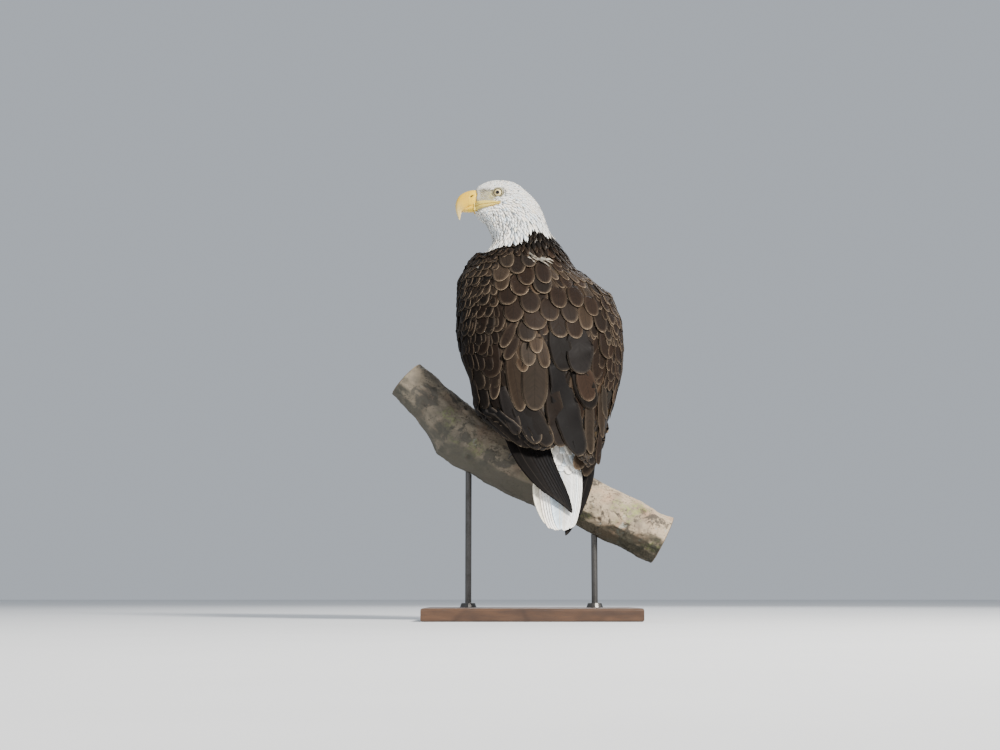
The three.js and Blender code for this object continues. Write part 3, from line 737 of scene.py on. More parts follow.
# The mantle and the scapulars: rows from the lower back up to the hood, each with the height of its tips,
# where it starts and ends in degrees from the middle, width, length, shape, colour and pale edge.
BACK_ROWS = [
    (120, -60, 62, 40, 96, "long", BROWN, 0.35),
    (160, -70, 66, 38, 88, "long", BROWN, 0.45),
    (196, -84, 74, 34, 74, "round", BROWN, 0.6),
    (226, -96, 88, 30, 62, "scale", BROWN, 0.85),
    (252, -104, 98, 28, 56, "scale", BROWN, 0.85),
    (275, -110, 100, 26, 52, "scale", PALE_BROWN, 0.9),
    (296, -112, 100, 25, 48, "scale", BROWN, 0.95),
    (315, -112, 98, 24, 44, "scale", PALE_BROWN, 0.9),
    (332, -112, 96, 21, 38, "scale", BROWN, 0.85),
    (347, -112, 96, 18, 34, "round", BROWN, 0.6),
    (360, -112, 98, 15, 30, "round", BROWN, 0.5),
    (371, -114, 110, 13, 28, "hackle", BROWN, 0.4),
    (381, -116, 124, 11, 26, "hackle", DARK, 0.35),
    (390, -110, 130, 10, 24, "hackle", DARK, 0.3),
    (399, -90, 120, 9, 22, "hackle", DARK, 0.25),
    (407, -70, 100, 9, 20, "hackle", DARK, 0.2),
]


def outside_at(turn, up):
    """The form's outermost point at that many degrees round the body and that height."""
    guess = body_guess(turn, up)
    middle, _, _, _, shift = hull_row(up)
    centre = bird_point(middle, shift, up)
    out = unit(guess - centre)
    place, normal, _ = form.hit(guess + out * 60, -out)
    return (guess, out) if place is None else (place, normal)


# The camera's line of sight, for the vanes that show most.
SIGHT_FROM = np.array([-57.72, -2965.99, 48.26])
SIGHT_PITCH = math.radians(8)
LENS, SENSOR = 56.25, 36  # mm
VIEW_WIDE, VIEW_HIGH = 1000, 750
SIGHT_REACH = VIEW_WIDE * LENS / SENSOR
SIGHT_ABOVE = np.array([0, -math.sin(SIGHT_PITCH), math.cos(SIGHT_PITCH)])
SIGHT_AHEAD = np.array([0, math.cos(SIGHT_PITCH), math.sin(SIGHT_PITCH)])


def sight_line(x, y):
    """The direction from the camera to a place in the view."""
    aside = np.array([x - VIEW_WIDE / 2, 0, 0])
    return unit(SIGHT_AHEAD * SIGHT_REACH + aside + SIGHT_ABOVE * (VIEW_HIGH / 2 - y))


def seen(x, y):
    """The outside of the form at a place in the view, and its normal, or two times None."""
    place, normal, _ = form.hit(SIGHT_FROM, sight_line(x, y))
    return place, normal


def in_sight(x, y, depth):
    """The point on the line of sight where y is depth."""
    line = sight_line(x, y)
    return SIGHT_FROM + line * (depth - SIGHT_FROM[1]) / line[1]


def in_show(point):
    """1 where the vanes that are placed one by one lie: a field of the view, cut off slanting below."""
    away = point - SIGHT_FROM
    scale = SIGHT_REACH / (away @ SIGHT_AHEAD)
    x, y = VIEW_WIDE / 2 + scale * away[0], VIEW_HIGH / 2 - scale * (away @ SIGHT_ABOVE)
    return float(498 < x < 604 and 262 < y < 470 and y < 400 + (x - 480) * 1.2)


for row, (tips, start, end, width, length, shape, colour, pale) in enumerate(BACK_ROWS):
    turn = start + (row % 2) * 0.5 * math.degrees(width * 0.8 / 130)
    middle, _, _, _, shift = hull_row(tips)
    while turn < end:
        radius = np.linalg.norm(body_guess(turn, tips) - bird_point(middle, shift, tips))
        wide = width * (1 + 0.10 * rng.normal())
        long = length * (1 + 0.07 * rng.normal())
        level = tips + 3 * rng.normal()
        turn += math.degrees(0.5 * wide * 0.72 / radius)
        away = turn + rng.normal() * 1.2
        # painted shade: vanes far round to the left are darkened, their pale edges too, as if that side lay
        # in shadow
        shade = lerp(1, 0.5, smooth((-away - 36) / 26))
        if level < hood_edge(away) + 11:
            tip, _ = outside_at(away, level)
            above, _ = outside_at(away * 1.01, min(level + 20, 420))
            under_hood = smooth((level - hood_edge(away) + 8) / 12)
            lay_vane(
                brown_coat_back, tip, above - tip, long, wide, shape, varied(colour * shade),
                pale * shade * (0.75 + 0.4 * rng.random()), grid=(8, 6) if wide > 16 else (5, 2), sunk=3.0,
                lift=0.25 + 0.45 * rng.random() - 2.2 * in_show(tip) - 1.6 * under_hood, cup=0.03, thick=0.3,
                roll=0.02 * np.sign(away), bend=0.05 * rng.normal(), hug=wide > 16, from_tip=True,
            )
        turn += math.degrees(0.5 * wide * 0.72 / radius)

# The wings: rows of coverts over the folded wing, and the long secondaries under them. Places across a
# wing run from the spine's side (0) to the breast's side (1).
WING = np.array([  # height over the feet, degrees round the body at both sides of the wing
    [-70, 6, 50], [-23, 4, 64], [23, 3, 79], [69, 3, 93], [115, 4, 104], [161, 7, 113], [207, 13, 120],
    [253, 21, 125], [300, 30, 128], [347, 42, 122], [392, 58, 112],
], float)
WING_EDGE = {  # places across the wing, height of its lower edge there
    LEFT: ([0, 0.25, 0.45, 0.7, 1], [-10, -15, -20, -8, 12]),
    RIGHT: ([0, 0.25, 0.45, 0.7, 1], [-24, -38, -50, -14, 32]),
}


def wing_sides(up):
    """Degrees round the body at the two sides of a wing, at a height."""
    return np.interp(up, WING[:, 0], WING[:, 1]), np.interp(up, WING[:, 0], WING[:, 2])


def wing_turn(across, up, side):
    """Degrees round the body at a place across one wing, at a height."""
    return side * lerp(*wing_sides(up), across)


def wing_edge(across, side):
    """Height of the wing's lower edge."""
    return np.interp(across, *WING_EDGE[side])


def wing_vane(side, across, tip, length, width, shape, colour, pale, **more):
    """One vane of the folded wing, by the place of its tip."""
    place, _ = outside_at(wing_turn(across, tip, side), tip)
    forward, _, up = bird_place(place)
    if up < 40 and forward > -52:  # that is a leg, below the wing's edge
        return

    def lie(point):
        up = point[2] - FEET[2]
        here = body_guess(wing_turn(across, up, side), up)
        return body_guess(wing_turn(across, up + 8, side), up + 8) - here

    more["lift"] -= 2.4 * in_show(place)
    lay_vane(
        brown_coat_side, place, lie(place), length, width, shape, colour, pale, lie=lie, from_tip=True,
        **more,
    )


COVERT_ROWS = [  # height of the tips over the wing's edge, width, length, shape, colour, pale edge
    (64, 32, 98, "long", BROWN, 0.45),
    (104, 27, 74, "long", PALE_BROWN, 0.6),
    (138, 23, 58, "round", BROWN, 0.6),
    (168, 20, 48, "scale", BROWN, 0.7),
    (194, 18, 42, "scale", BROWN, 0.75),
    (218, 17, 38, "scale", PALE_BROWN, 0.75),
    (240, 16, 36, "scale", BROWN, 0.7),
    (261, 16, 34, "scale", BROWN, 0.7),
    (281, 15, 32, "scale", BROWN, 0.65),
    (300, 15, 30, "round", BROWN, 0.6),
    (318, 14, 29, "round", DARK, 0.5),
]
SECONDARIES = 11
WING_TOP = 352  # no covert's root lies higher
WING_PAINTED_SHADE = {LEFT: (0.48, 0.6), RIGHT: (1.0, 1)}  # painted shade: the left wing is darkened as if it lay in shadow; how much for the vanes, and for their pale edges once more

for side in (LEFT, RIGHT):
    # painted shade on the left wing's coverts
    dim, dim_edge = WING_PAINTED_SHADE[side]
    for number in range(SECONDARIES):  # the inner ones over the outer ones
        across = 0.97 - 0.93 * number / (SECONDARIES - 1)
        wing_vane(
            side, across, wing_edge(across, side) + 1, 205 + 10 * math.sin(number), 38, "flight",
            varied(lerp(BLACKISH, SLATE, 0.25 + 0.5 * (1 - across)), 0.08), 0.25, grid=(22, 6), sunk=3.2,
            lift=-1.4 + 0.16 * number, cup=0.02, thick=0.5, roll=0.03 * side, edge_wave=0.012,
        )
    for row, (over, width, length, shape, colour, pale) in enumerate(COVERT_ROWS):
        across = 0.02 + (row % 2) * 0.02
        while across < 1.0:
            tip = wing_edge(across, side) * 0.8 + over + 3 * rng.normal()
            span = abs(wing_turn(1, tip, side) - wing_turn(0, tip, side))
            radius = 0.5 * (hull_row(tip)[1] + hull_row(tip)[2])
            size = width * (1 + 0.09 * rng.normal())
            long = min(length * (1 + 0.07 * rng.normal()), WING_TOP - tip)
            if long > 12:
                wing_vane(
                    side, across, tip, long, size, shape, varied(colour * dim, 0.16),
                    pale * (0.6 + 0.5 * rng.random()) * dim * dim_edge, grid=(7, 6), sunk=2.9,
                    lift=0.1 + 0.4 * rng.random(), cup=0.03, thick=0.3, roll=0.02 * side,
                    bend=0.04 * rng.normal(),
                )
            across += size * 0.70 / (math.radians(span) * radius)


# The vanes that show most, each by the place of its tip and its root in the view: the scapulars with their
# pale borders, the tertials over the rump, and the long secondaries under them.
SHOWN = [  # tip x, y, root x, y, width, shape, colour, pale edge, height over the form
    (517.7, 434.7, 503, 392, 14, "flight", BLACKISH * 1.3, 0.25, 0.2),
    (538.3, 443.2, 513, 396, 18, "flight", SLATE * 0.8, 0.45, 0.35),
    (550.5, 445.6, 520, 396, 20, "flight", SLATE * 0.7, 0.5, 0.5),
    (590.5, 454.0, 592, 390, 13, "flight", PALE_BROWN * 0.8, 0.5, 0.3),
    (602.6, 437.7, 601, 398, 11, "flight", PALE_BROWN, 0.6, 0.4),
    (597.7, 464.4, 601, 430, 11, "flight", BROWN, 0.4, 0.0),
    (583.5, 475.5, 600, 440, 18, "long", PALE_BROWN, 0.6, 1.2),
    (574.5, 469.0, 592, 438, 16, "long", PALE_BROWN * 1.15, 0.8, 2.4),
    (561.4, 447.0, 551.7, 382, 20, "flight", BROWN * 0.9, 0.5, 0.9),
    (580.8, 456.0, 556, 368, 28, "flight", SLATE * 0.8, 0.45, 2.2),
    (493.5, 399.5, 496, 366, 11, "long", BROWN, 0.7, 0.5),
    (606.0, 419.0, 604, 388, 10, "long", PALE_BROWN, 0.7, 0.6),
    (594.0, 408.0, 578, 374, 24, "long", DARK, 0.3, 0.9),
    (590.5, 400.8, 582, 368, 23, "long", RUFOUS, 0.6, 1.2),
    (520.8, 411.4, 511, 352, 17, "long", PALE_BROWN * 0.9, 0.7, 1.1),
    (534.7, 410.5, 534.7, 350, 27, "long", PALE_BROWN * 0.95, 0.7, 2.0),
    (565.0, 371.0, 556, 330, 25, "long", SLATE * 0.85, 0.35, 0.6),
    (579.5, 374.0, 578, 330, 29, "long", SLATE * 1.1, 0.35, 3.0),
    (523.8, 372.0, 519, 346, 14, "scale", PALE_BROWN * 1.1, 0.9, 1.5),
    (545.6, 368.0, 540, 340, 13, "long", PALE_BROWN, 0.9, 1.5),
    (505.6, 359.5, 516.5, 338, 11, "long", BROWN, 1.0, 1.4),
    (528.6, 366.0, 527.5, 341, 16, "scale", PALE_BROWN * 1.1, 1.0, 1.8),
    (502.0, 347.5, 513, 325, 11, "long", BROWN, 1.0, 1.6),
    (537.0, 353.5, 534.5, 330, 14, "round", PALE_BROWN * 1.2, 1.0, 1.8),
    (527.4, 341.6, 526, 321, 19, "scale", BROWN, 1.0, 1.9),
    (616.0, 334.7, 615, 317, 12, "scale", BROWN, 0.9, 1.2),
    (586.0, 330.0, 584, 306, 17, "scale", PALE_BROWN, 1.0, 2.2),
    (601.4, 332.6, 599, 311, 18, "scale", BROWN, 1.0, 2.2),
    (560.0, 337.7, 557.5, 312, 22, "scale", BROWN * 0.9, 1.0, 1.7),
    (574.7, 338.7, 573.5, 314, 20, "scale", BROWN, 1.0, 2.7),
    (534.7, 330.0, 535, 306, 25, "scale", BROWN * 1.15, 1.0, 1.9),
    (571.0, 323.0, 567.5, 302, 19, "scale", BROWN, 1.0, 2.0),
    (611.6, 324.4, 609, 306, 13, "scale", BROWN, 1.0, 1.7),
    (549.0, 321.0, 549, 299, 21, "scale", BROWN, 0.9, 1.9),
    (513.0, 322.0, 514, 300, 20, "scale", BROWN, 0.9, 1.7),
    (530.0, 313.0, 530, 291, 21, "scale", BROWN, 0.9, 2.0),
    (592.0, 316.0, 590, 296, 18, "scale", BROWN, 0.9, 1.8),
    (558.0, 308.0, 558, 287, 19, "scale", BROWN, 0.9, 1.9),
    (576.0, 307.0, 574, 286, 18, "scale", BROWN, 0.9, 1.8),
    (507.0, 305.0, 508, 285, 19, "scale", BROWN, 0.9, 1.7),
    (520.0, 296.0, 519, 274, 20, "scale", BROWN, 1.0, 1.9),
    (542.0, 293.8, 542, 273, 20, "scale", BROWN, 0.95, 1.9),
    (500.8, 291.0, 503, 271, 16, "scale", PALE_BROWN, 0.9, 1.8),
    (526.0, 285.6, 525.5, 264, 18, "scale", BROWN, 1.0, 2.1),
    (544.4, 283.8, 542, 262, 17, "scale", BROWN * 1.1, 1.0, 2.0),
    (499.5, 282.0, 503, 260, 18, "scale", PALE_BROWN, 1.0, 1.9),
    (516.5, 274.3, 517.5, 254, 17, "scale", BROWN, 1.0, 2.1),
    (507.0, 268.0, 506, 250, 15, "scale", PALE_BROWN * 0.8, 0.8, 1.9),
    (528.6, 267.4, 528.6, 249, 16, "scale", BROWN, 0.8, 1.9),
    (581.0, 272.5, 577, 267, 3.5, "hackle", WISP * 1.5, 0.2, 2.4),
    (590.5, 277.0, 587, 271, 3, "hackle", WISP * 1.8, 0.2, 2.4),
    (478.5, 269.5, 477, 264, 3.0, "hackle", WISP * 0.6, 0.2, 2.0),
]
for number in range(22):  # loose pale wisps on the mantle
    x = 526 + number + 1.5 * rng.normal()
    y = 255 + 0.011 * (x - 530) ** 2 + 1.5 * rng.normal()
    colour = WISP * (0.25 + 0.85 * rng.random())
    tip = x + 6 + rng.normal(), y + 6 + rng.normal()
    SHOWN.append((*tip, x, y, 1.6 + 1.4 * rng.random(), "hackle", colour, 0.2, 2.4))

brown_coat_shown = Coat("brown_plumage_scapulars")
for row, (tip_x, tip_y, root_x, root_y, wide, shape, colour, pale, high) in enumerate(SHOWN):
    root, _ = seen(root_x, root_y)
    tip, _ = seen(tip_x, tip_y)
    if root is None:
        continue
    hangs = tip is None or tip[1] > root[1] + 30
    if hangs:  # past the wing's lower edge
        tip = in_sight(tip_x, tip_y, root[1] - 14)
    unit_there = np.linalg.norm(tip - SIGHT_FROM) / SIGHT_REACH  # mm for one unit of the view
    length = np.linalg.norm(root - tip) * (1.0 if hangs else 1.12)
    big = shape in ("flight", "long")
    start, way = (root, tip - root) if hangs else (tip, root - tip)
    lay_vane(
        brown_coat_shown, start, way, length, wide * unit_there * 1.06, shape, varied(colour, 0.08),
        pale * (0.65 + 0.35 * rng.random()), grid=(20, 8) if big else (10, 8), sunk=0.6 if big else 2.4,
        lift=high, cup=0.02, thick=0.35, roll=0.012 * (1 if row % 2 else -1),
        edge_wave=0.012 if big else 0.008, from_tip=not hangs, straight=hangs, hug=not hangs,
        lie=None if hangs else lambda point, root=root, tip=tip: root + (root - tip) * 0.3 - point,
    )


def front_spacing(points):
    """Millimetres between vanes: closer on the breast, and closest on the thighs."""
    _, up = round_body(points)
    return lerp(12.5, 10.0, smooth((up - 250) / 120)) - 3.2 * smooth((60 - up) / 60)


def on_inner_face(points):
    """Up to 1 on the sides of the folded wings that are turned to the body, below 0 on outer sides."""
    inner = np.zeros(len(points))
    for i, point in enumerate(points):
        _, normal = form.nearest(point)
        forward, right, up = bird_place(point)
        middle, _, _, _, shift = hull_row(up)
        out = unit((forward - middle) * FORWARD + (right - shift) * SIDEWAYS)
        inner[i] = -np.dot(out, normal)
    return inner


def keep_front(points):
    """The breast, the belly and the thighs, and what the wings hide: all that the other coats leave free."""
    turn, up = round_body(points)
    forward, _, _ = bird_place(points)
    low_end = np.where(forward > -48, thigh_end(points) + 4, 27)
    free = np.abs(turn) > wing_sides(up)[1] - 5
    breast = (up > low_end) & free & ~is_hood(points, 12)
    thighs = (up > low_end) & (up < 70) & (forward > -48)
    low = np.nonzero((up < 110) & (up > 14) & ((forward < -56) | (up > 40)))[0]
    under_wing = np.zeros(len(points), bool)
    under_wing[low] = on_inner_face(points[low]) > 0.2
    return breast | thighs | under_wing


front_roots = form.samples(front_spacing, keep_front, 9)
for root, gap in zip(front_roots, front_spacing(front_roots)):
    size = gap * (1 + 0.1 * rng.normal())
    forward, _, up = bird_place(root)
    slope = np.array([0.0, 0.0, -1.0]) + 0.12 * rng.normal(size=3)
    short = smooth((float(up) - float(thigh_end(root)) - 4) / 40)
    flat = 0.3 if forward < -52 and up < 110 else 1.0  # inside the wings
    lay_vane(
        brown_coat_front, root, slope, size * lerp(1.7, 3.0, short), size * 1.75, "round",
        varied(BROWN * 0.8, 0.2), 0.15 + 0.4 * rng.random(), grid=(5, 2), sunk=2.8 * lerp(0.6, 1, short),
        lift=flat * (0.5 + 0.6 * rng.random()), cup=0.05, thick=0.3, hug=False,
        curl=0.4 * flat * rng.random(),
    )

# ---------------------------------------------------------------- tail and primaries


def curve_at(rows, share):
    """A smooth line through rows of numbers, share 0 to 1 over them; share may be an array."""
    rows = np.asarray(rows, float)
    share = np.clip(np.asarray(share, float), 0, 1) * (len(rows) - 1)
    index = np.minimum(share.astype(int), len(rows) - 2)
    t = (share - index)[..., None]
    before, start = rows[np.maximum(index - 1, 0)], rows[index]
    end, after = rows[index + 1], rows[np.minimum(index + 2, len(rows) - 1)]
    return 0.5 * (
        2 * start + (end - before) * t + (2 * before - 5 * start + 4 * end - after) * t**2
        + (3 * start - before - 3 * end + after) * t**3
    )


TAIL_LINE = np.array([  # height over the feet, forward, shift to the right
    [-175, -172, -9], [-115, -158, -6], [-60, -143, -3], [0, -122, -1], [52, -88, 0],
], float)


def tail_middle(up):
    """The tail's middle at a height: forward, and shift to the right."""
    return np.interp(up, TAIL_LINE[:, 0], TAIL_LINE[:, 1]), np.interp(up, TAIL_LINE[:, 0], TAIL_LINE[:, 2])


def long_vane(coat, spine, width, shape, offset, bow, tint, pale, grid=(36, 8), thick=0.8, skew=0.0, roll=0.0,
              cup=0.0012, splits=0.0):
    """A long vane down the back of the tail; spine rows are right and up, offset is toward the breast.

    It bows by its distance from the tail's middle, cups by that from its shaft, and rolls about it.
    """
    rows, columns = grid
    shares = np.sin(np.linspace(0, 1, rows + 1) * math.pi / 2) ** 0.95
    line = curve_at(spine, shares)
    heading = unit(np.gradient(line, axis=0))
    side = np.stack([-heading[:, 1], heading[:, 0]], -1)
    half = vane_outline(shares, *SHAPES[shape]) * width / 2
    half = half * (1 + splits * rng.normal(size=rows + 1) * smooth((shares - 0.4) * 4))
    ways = np.linspace(-1, 1, columns + 1)
    across = half[:, None] * (ways + skew * (1 - ways**2))[None]
    right = line[:, None, 0] + side[:, None, 0] * across
    up = line[:, None, 1] + side[:, None, 1] * across
    middle, shift = tail_middle(up)
    forward = middle + offset + bow * right**2 + cup * across**2 + roll * across
    points = bird_point(forward, right + shift, up)
    normals = np.broadcast_to(-FORWARD, points.shape)
    step = np.linalg.norm(np.diff(line, axis=0), axis=1)
    along = np.repeat(np.concatenate([[0], np.cumsum(step)])[:, None], columns + 1, 1)
    root = points[0, columns // 2]
    coat.blade(points, normals, thick, along, across, tint, pale, rng.random(), root, width)


tail_coat = Coat("tail_feathers")
TAIL_EDGES = (  # right and up, down the tail's left and right edge
    [[-30, 48], [-41, 0], [-52, -50], [-56, -100], [-46, -142]],
    [[30, 48], [36, 0], [42, -50], [35, -100], [17, -142]],
)
TAIL_PAIRS = 6
TAIL_PLACES = {  # share of the half width for each pair
    LEFT: (0.10, 0.18, 0.27, 0.37, 0.50, 0.80), RIGHT: (0.14, 0.22, 0.31, 0.41, 0.52, 0.63),
}
TAIL_FAN = {LEFT: 1.3, RIGHT: 0.5}  # mm that each pair's end stands further out than the one before
TAIL_NARROWER = {(LEFT, 4): 4, (LEFT, 5): 11}


def edge_line(edges, across, count):
    """A line between two edges, at that share of the way from the first to the second."""
    first, second = (curve_at(edge, np.linspace(0, 1, count)) for edge in edges)
    return lerp(first, second, across)


for number in range(2 * TAIL_PAIRS):
    # the middle pair lies on top, and each further one under its neighbour
    rank, side = number // 2, LEFT if number % 2 else RIGHT
    across = 0.5 + 0.5 * side * TAIL_PLACES[side][rank]
    spine = edge_line(TAIL_EDGES, across, 6)
    spine[-1, 1] -= 17 * math.sin(math.pi * across) ** 0.9 + 3.5 + 1.5 * rng.normal()
    for row, share in ((-1, 1), (-2, 0.75), (-3, 0.45)):
        spine[row, 0] += side * share * TAIL_FAN[side] * rank
    if (side, rank) == (LEFT, TAIL_PAIRS - 1):
        spine[-1, 0] += 5
    spine[0, 1] += 4
    long_vane(
        tail_coat, spine, 37 - 1.2 * rank - TAIL_NARROWER.get((side, rank), 0), "tail", 0.55 * rank - 1.2,
        0.0030, varied(WHITE, 0.015), 0.05, thick=0.3, roll=0.004 * side, skew=0.14 * side, splits=0.01,
        cup=0.0008,
    )

PRIMARY_EDGES = {  # right and up, down both edges of each wing's tip, and how far it lies off the tail
    LEFT: (
        ([[-104, 36], [-94, -12], [-70, -62], [-38, -104], [-2, -128]],
         [[-28, 44], [-30, -8], [-22, -56], [-6, -96], [6, -132]]), -11,
    ),
    RIGHT: (
        ([[30, 40], [30, -12], [20, -70], [2, -124], [-8, -168]],
         [[92, 30], [82, -20], [58, -76], [27, -128], [-2, -172]]), 11,
    ),
}
PRIMARY_ENDS = [0, 4, 9, 16, 25, 36, 48]  # mm that each one ends over the longest
PRIMARY_COUNT = len(PRIMARY_ENDS)
primary_coats = []
for side in (LEFT, RIGHT):
    coat = Coat(f"primary_feathers_{SIDE_NAMES[side]}")
    edges, offset = PRIMARY_EDGES[side]
    for number in range(PRIMARY_COUNT):
        share = number / (PRIMARY_COUNT - 1)
        across = lerp(0.16, 0.84, share) if side == LEFT else lerp(0.84, 0.16, share)
        # the outer ones lie lowest and end higher up
        shorter = PRIMARY_ENDS[number if side == RIGHT else PRIMARY_COUNT - 1 - number]
        spine = curve_at(edge_line(edges, across, 7), np.linspace(0, 1 - shorter / 190, 7))
        long_vane(
            coat, spine, 30, "finger", offset - 2.6 + 0.85 * number, 0.003, varied(BLACKISH * 0.7, 0.10), 0.0,
            thick=0.6, roll=0.03 * side, splits=0.015, skew=0.12 * side,
        )
    primary_coats.append(coat)

# White tail coverts over the root of the tail, on its back and under it.
TAIL_COVERTS = [(-58, 26, 62, 4), (-42, 25, 58, 5), (-24, 24, 54, 5), (-4, 23, 50, 5)]  # tip, size and count
for face in (-1, 1):
    for row, (tip, width, length, count) in enumerate(TAIL_COVERTS):
        for number in range(count):
            place = (number - (count - 1) / 2) * (0.84 if row % 2 else 1)
            right = place * 15.5 + rng.normal()
            low = tip + 3 * rng.normal()
            spine = [[right * 0.55, tip + length], [right * 0.8, tip + length * 0.5], [right, low]]
            offset = face * (3.2 + 1.5 * row + 0.5 * abs(place))
            long_vane(
                white_coat, spine, width, "round", offset, 0.0035, varied(WHITE, 0.015), 0.0, grid=(10, 4),
                thick=-0.4 * face, cup=-face * 0.003,
            )

# ---------------------------------------------------------------- bill, gape and eyes

# The bill's rows, all in units of the head: the upper edge's place forward and up, the lower edge's, and
# the half width.
UPPER_BILL = [
    [17, 2, 17, -15.2, 7.2], [24, 2.1, 24, -15.3, 8.2], [29.4, 1.4, 28.6, -16.3, 7.8],
    [35.4, -0.8, 32.6, -17.7, 6.6], [40, -4.6, 35.4, -18.8, 5.3], [42.7, -10.1, 36.9, -19.8, 4.1],
    [43.2, -16, 37.6, -22, 2.9], [41.7, -22.8, 38.1, -25, 1.7], [39.3, -28.4, 38.7, -28.5, 0.4],
]
LOWER_BILL = [
    [15, -9, 16, -18.6, 5.8], [24, -10.5, 24.4, -20, 6.6], [29, -13, 29.2, -20.3, 5.8],
    [33, -16, 33.2, -20.3, 4.4], [36, -19, 35.8, -20.2, 2.2],
]


def tube_faces(rings, sides, caps=True):
    """Faces round a tube of points, ring by ring, closed at both ends if it has caps."""
    index = np.arange(rings * sides).reshape(rings, sides)
    turned = np.roll(index, -1, axis=1)
    quads = np.stack([index[:-1], index[1:], turned[1:], turned[:-1]], -1).reshape(-1, 4)
    faces = [tuple(q) for q in quads]
    if caps:
        faces += [tuple(index[0]), tuple(index[-1][::-1])]
    return faces


def outward(piece):
    """Turns the faces of a piece to its outside."""
    work = bmesh.new()
    work.from_mesh(piece.data)
    bmesh.ops.recalc_face_normals(work, faces=work.faces)
    work.to_mesh(piece.data)
    work.free()


NOSTRIL = (27.0, -5.7)


def bill_piece(name, rows, rings, sides, underside, upper):
    """Half of the bill; underside squares off its lower half, 1 leaving it round."""
    shares = 1 - (1 - np.linspace(0, 1, rings)) ** 1.15
    row = curve_at(rows, shares)
    angle = 2 * np.pi * np.arange(sides) / sides
    squared = np.where(np.cos(angle) < 0, underside, 0.92 if upper else 0.95)
    along = power(np.cos(angle), squared)
    wide = power(np.sin(angle), squared)
    top, low = row[:, None, 0:2], row[:, None, 2:4]
    middle = (top + low) / 2 + (top - low) / 2 * along[None, :, None]
    half = row[:, None, 4] * wide[None]
    forward, up = middle[..., 0], middle[..., 1]
    if upper:
        # the step where the soft cere ends, the nostril's hollow and the wave of the cutting edge
        half = half * (1 - 0.035 * smooth((forward - 29.2 + 0.07 * (up + 6)) / 0.9))
        slant = (up - NOSTRIL[1]) + 0.55 * (forward - NOSTRIL[0])
        run = (forward - NOSTRIL[0]) - 0.55 * (up - NOSTRIL[1])
        hollow = np.exp(-((run / 2.9) ** 2) - (slant / 0.95) ** 2)
        brim = np.exp(-((run / 4.0) ** 2) - (slant / 2.1) ** 2)
        half = half + np.sign(half) * (0.45 * brim - 2.3 * hollow) * (np.abs(half) > 2)
        wave = 0.55 * np.sin((forward - 22) * 0.34) * (along[None] < -0.9)
        up = up + wave * (forward < 38)
    piece = new_object(name, head_point(forward, up, half).reshape(-1, 3), tube_faces(rings, sides))
    outward(piece)
    add_values(piece, "hollow", hollow if upper else np.zeros_like(half))
    add_values(piece, "along", forward)
    add_values(piece, "high", up)
    return piece


def side_hit(forward, up, side):
    """The head's outside at that place of its side view, and its normal, or two times None."""
    start = head_point(forward, up, side * 40)
    place, normal, _ = form.hit(start, (0, -side, 0))
    return place, normal


# The mouth's line, forward and up, and the lips' heights along it.
MOUTH = [[-2.4, -14.9], [4, -15.0], [12, -15.2], [20, -15.6], [24.6, -15.9]]
UPPER_LIP = [[0.3], [2.1], [3.5], [4.4], [4.8]]
LOWER_LIP = [[0.3], [1.7], [2.9], [4.0], [4.4]]

for side in (LEFT, RIGHT):
    for _ in range(90):  # sparse bristles between the eye and the bill
        forward, high = 4 + 17 * rng.random(), -13.5 + 14 * rng.random()
        place, _ = side_hit(forward, high, side)
        if place is not None and from_eye(forward, high) > 7:
            colour = lerp(LORES, WHITE, 0.3 + 0.6 * rng.random())
            lay_vane(
                white_coat, place, head_lie(place) + 0.25 * rng.normal(size=3), 4.5 + 3 * rng.random(), 0.6,
                "hackle", varied(colour, 0.05), 0.0, grid=(4, 2), sunk=-0.1, lift=0.35, cup=0.02, thick=0.08,
                hug=False, lie=head_lie,
            )

for _ in range(70):  # the chin's feathers, which run on under the lower bill
    start = head_point(12.5 + 7 * rng.random(), -60, 6.5 * (rng.random() - 0.5) * 2)
    place, _, _ = form.hit(start, (0, 0, 1))
    ahead = head_way(1, 0.62 + 0.12 * rng.normal(), 0.12 * rng.normal())
    if place is not None:
        lay_vane(
            white_coat, place, ahead, 9 + 3 * rng.random(), 3.4, "hackle", varied(WHITE * 0.97, 0.015), 0.0,
            grid=(5, 2), sunk=0.5, lift=0.5, cup=0.03, thick=0.12, hug=False, straight=True,
        )


def lips():
    """The yellow flange along the mouth, an upper and a lower lip on each side."""
    points, faces = [], []
    rings, steps = 46, 9
    gap = 0.12  # between the mouth's line and each lip
    for side in (LEFT, RIGHT):
        for way, lip in ((1, UPPER_LIP), (-1, LOWER_LIP)):
            start = len(points)
            for share in np.linspace(0, 1, rings):
                forward, up = curve_at(MOUTH, share)
                tall = float(curve_at(lip, share)[0])
                for v in np.linspace(0, 1, steps):
                    high = up + way * (gap + v * tall)
                    place, normal = side_hit(forward, high, side)
                    if place is None:
                        place, normal = head_point(forward, high, side * 7.0), np.array([0, side, 0], float)
                    full = math.sin(math.pi * min(1, v * 0.8 + 0.2)) ** 0.6
                    out = (0.25 + 1.15 * smooth(tall / 3)) * full - 0.9 * (v == 1) - 0.4 * (v == 0)
                    points.append(place + normal * out)
            for i in range(rings - 1):
                for j in range(steps - 1):
                    a = start + i * steps + j
                    faces.append((a, a + 1, a + steps + 1, a + steps))
    piece = new_object("gape", np.array(points), faces)
    outward(piece)
    shell = piece.modifiers.new("lip", "SOLIDIFY")
    shell.thickness, shell.offset = 0.7 * MM, -1
    return piece


EYE_BULGE = 0.55  # mm that the clear front stands over the ball
NO_IRIS = 20  # mm from the gaze, for the back of the ball


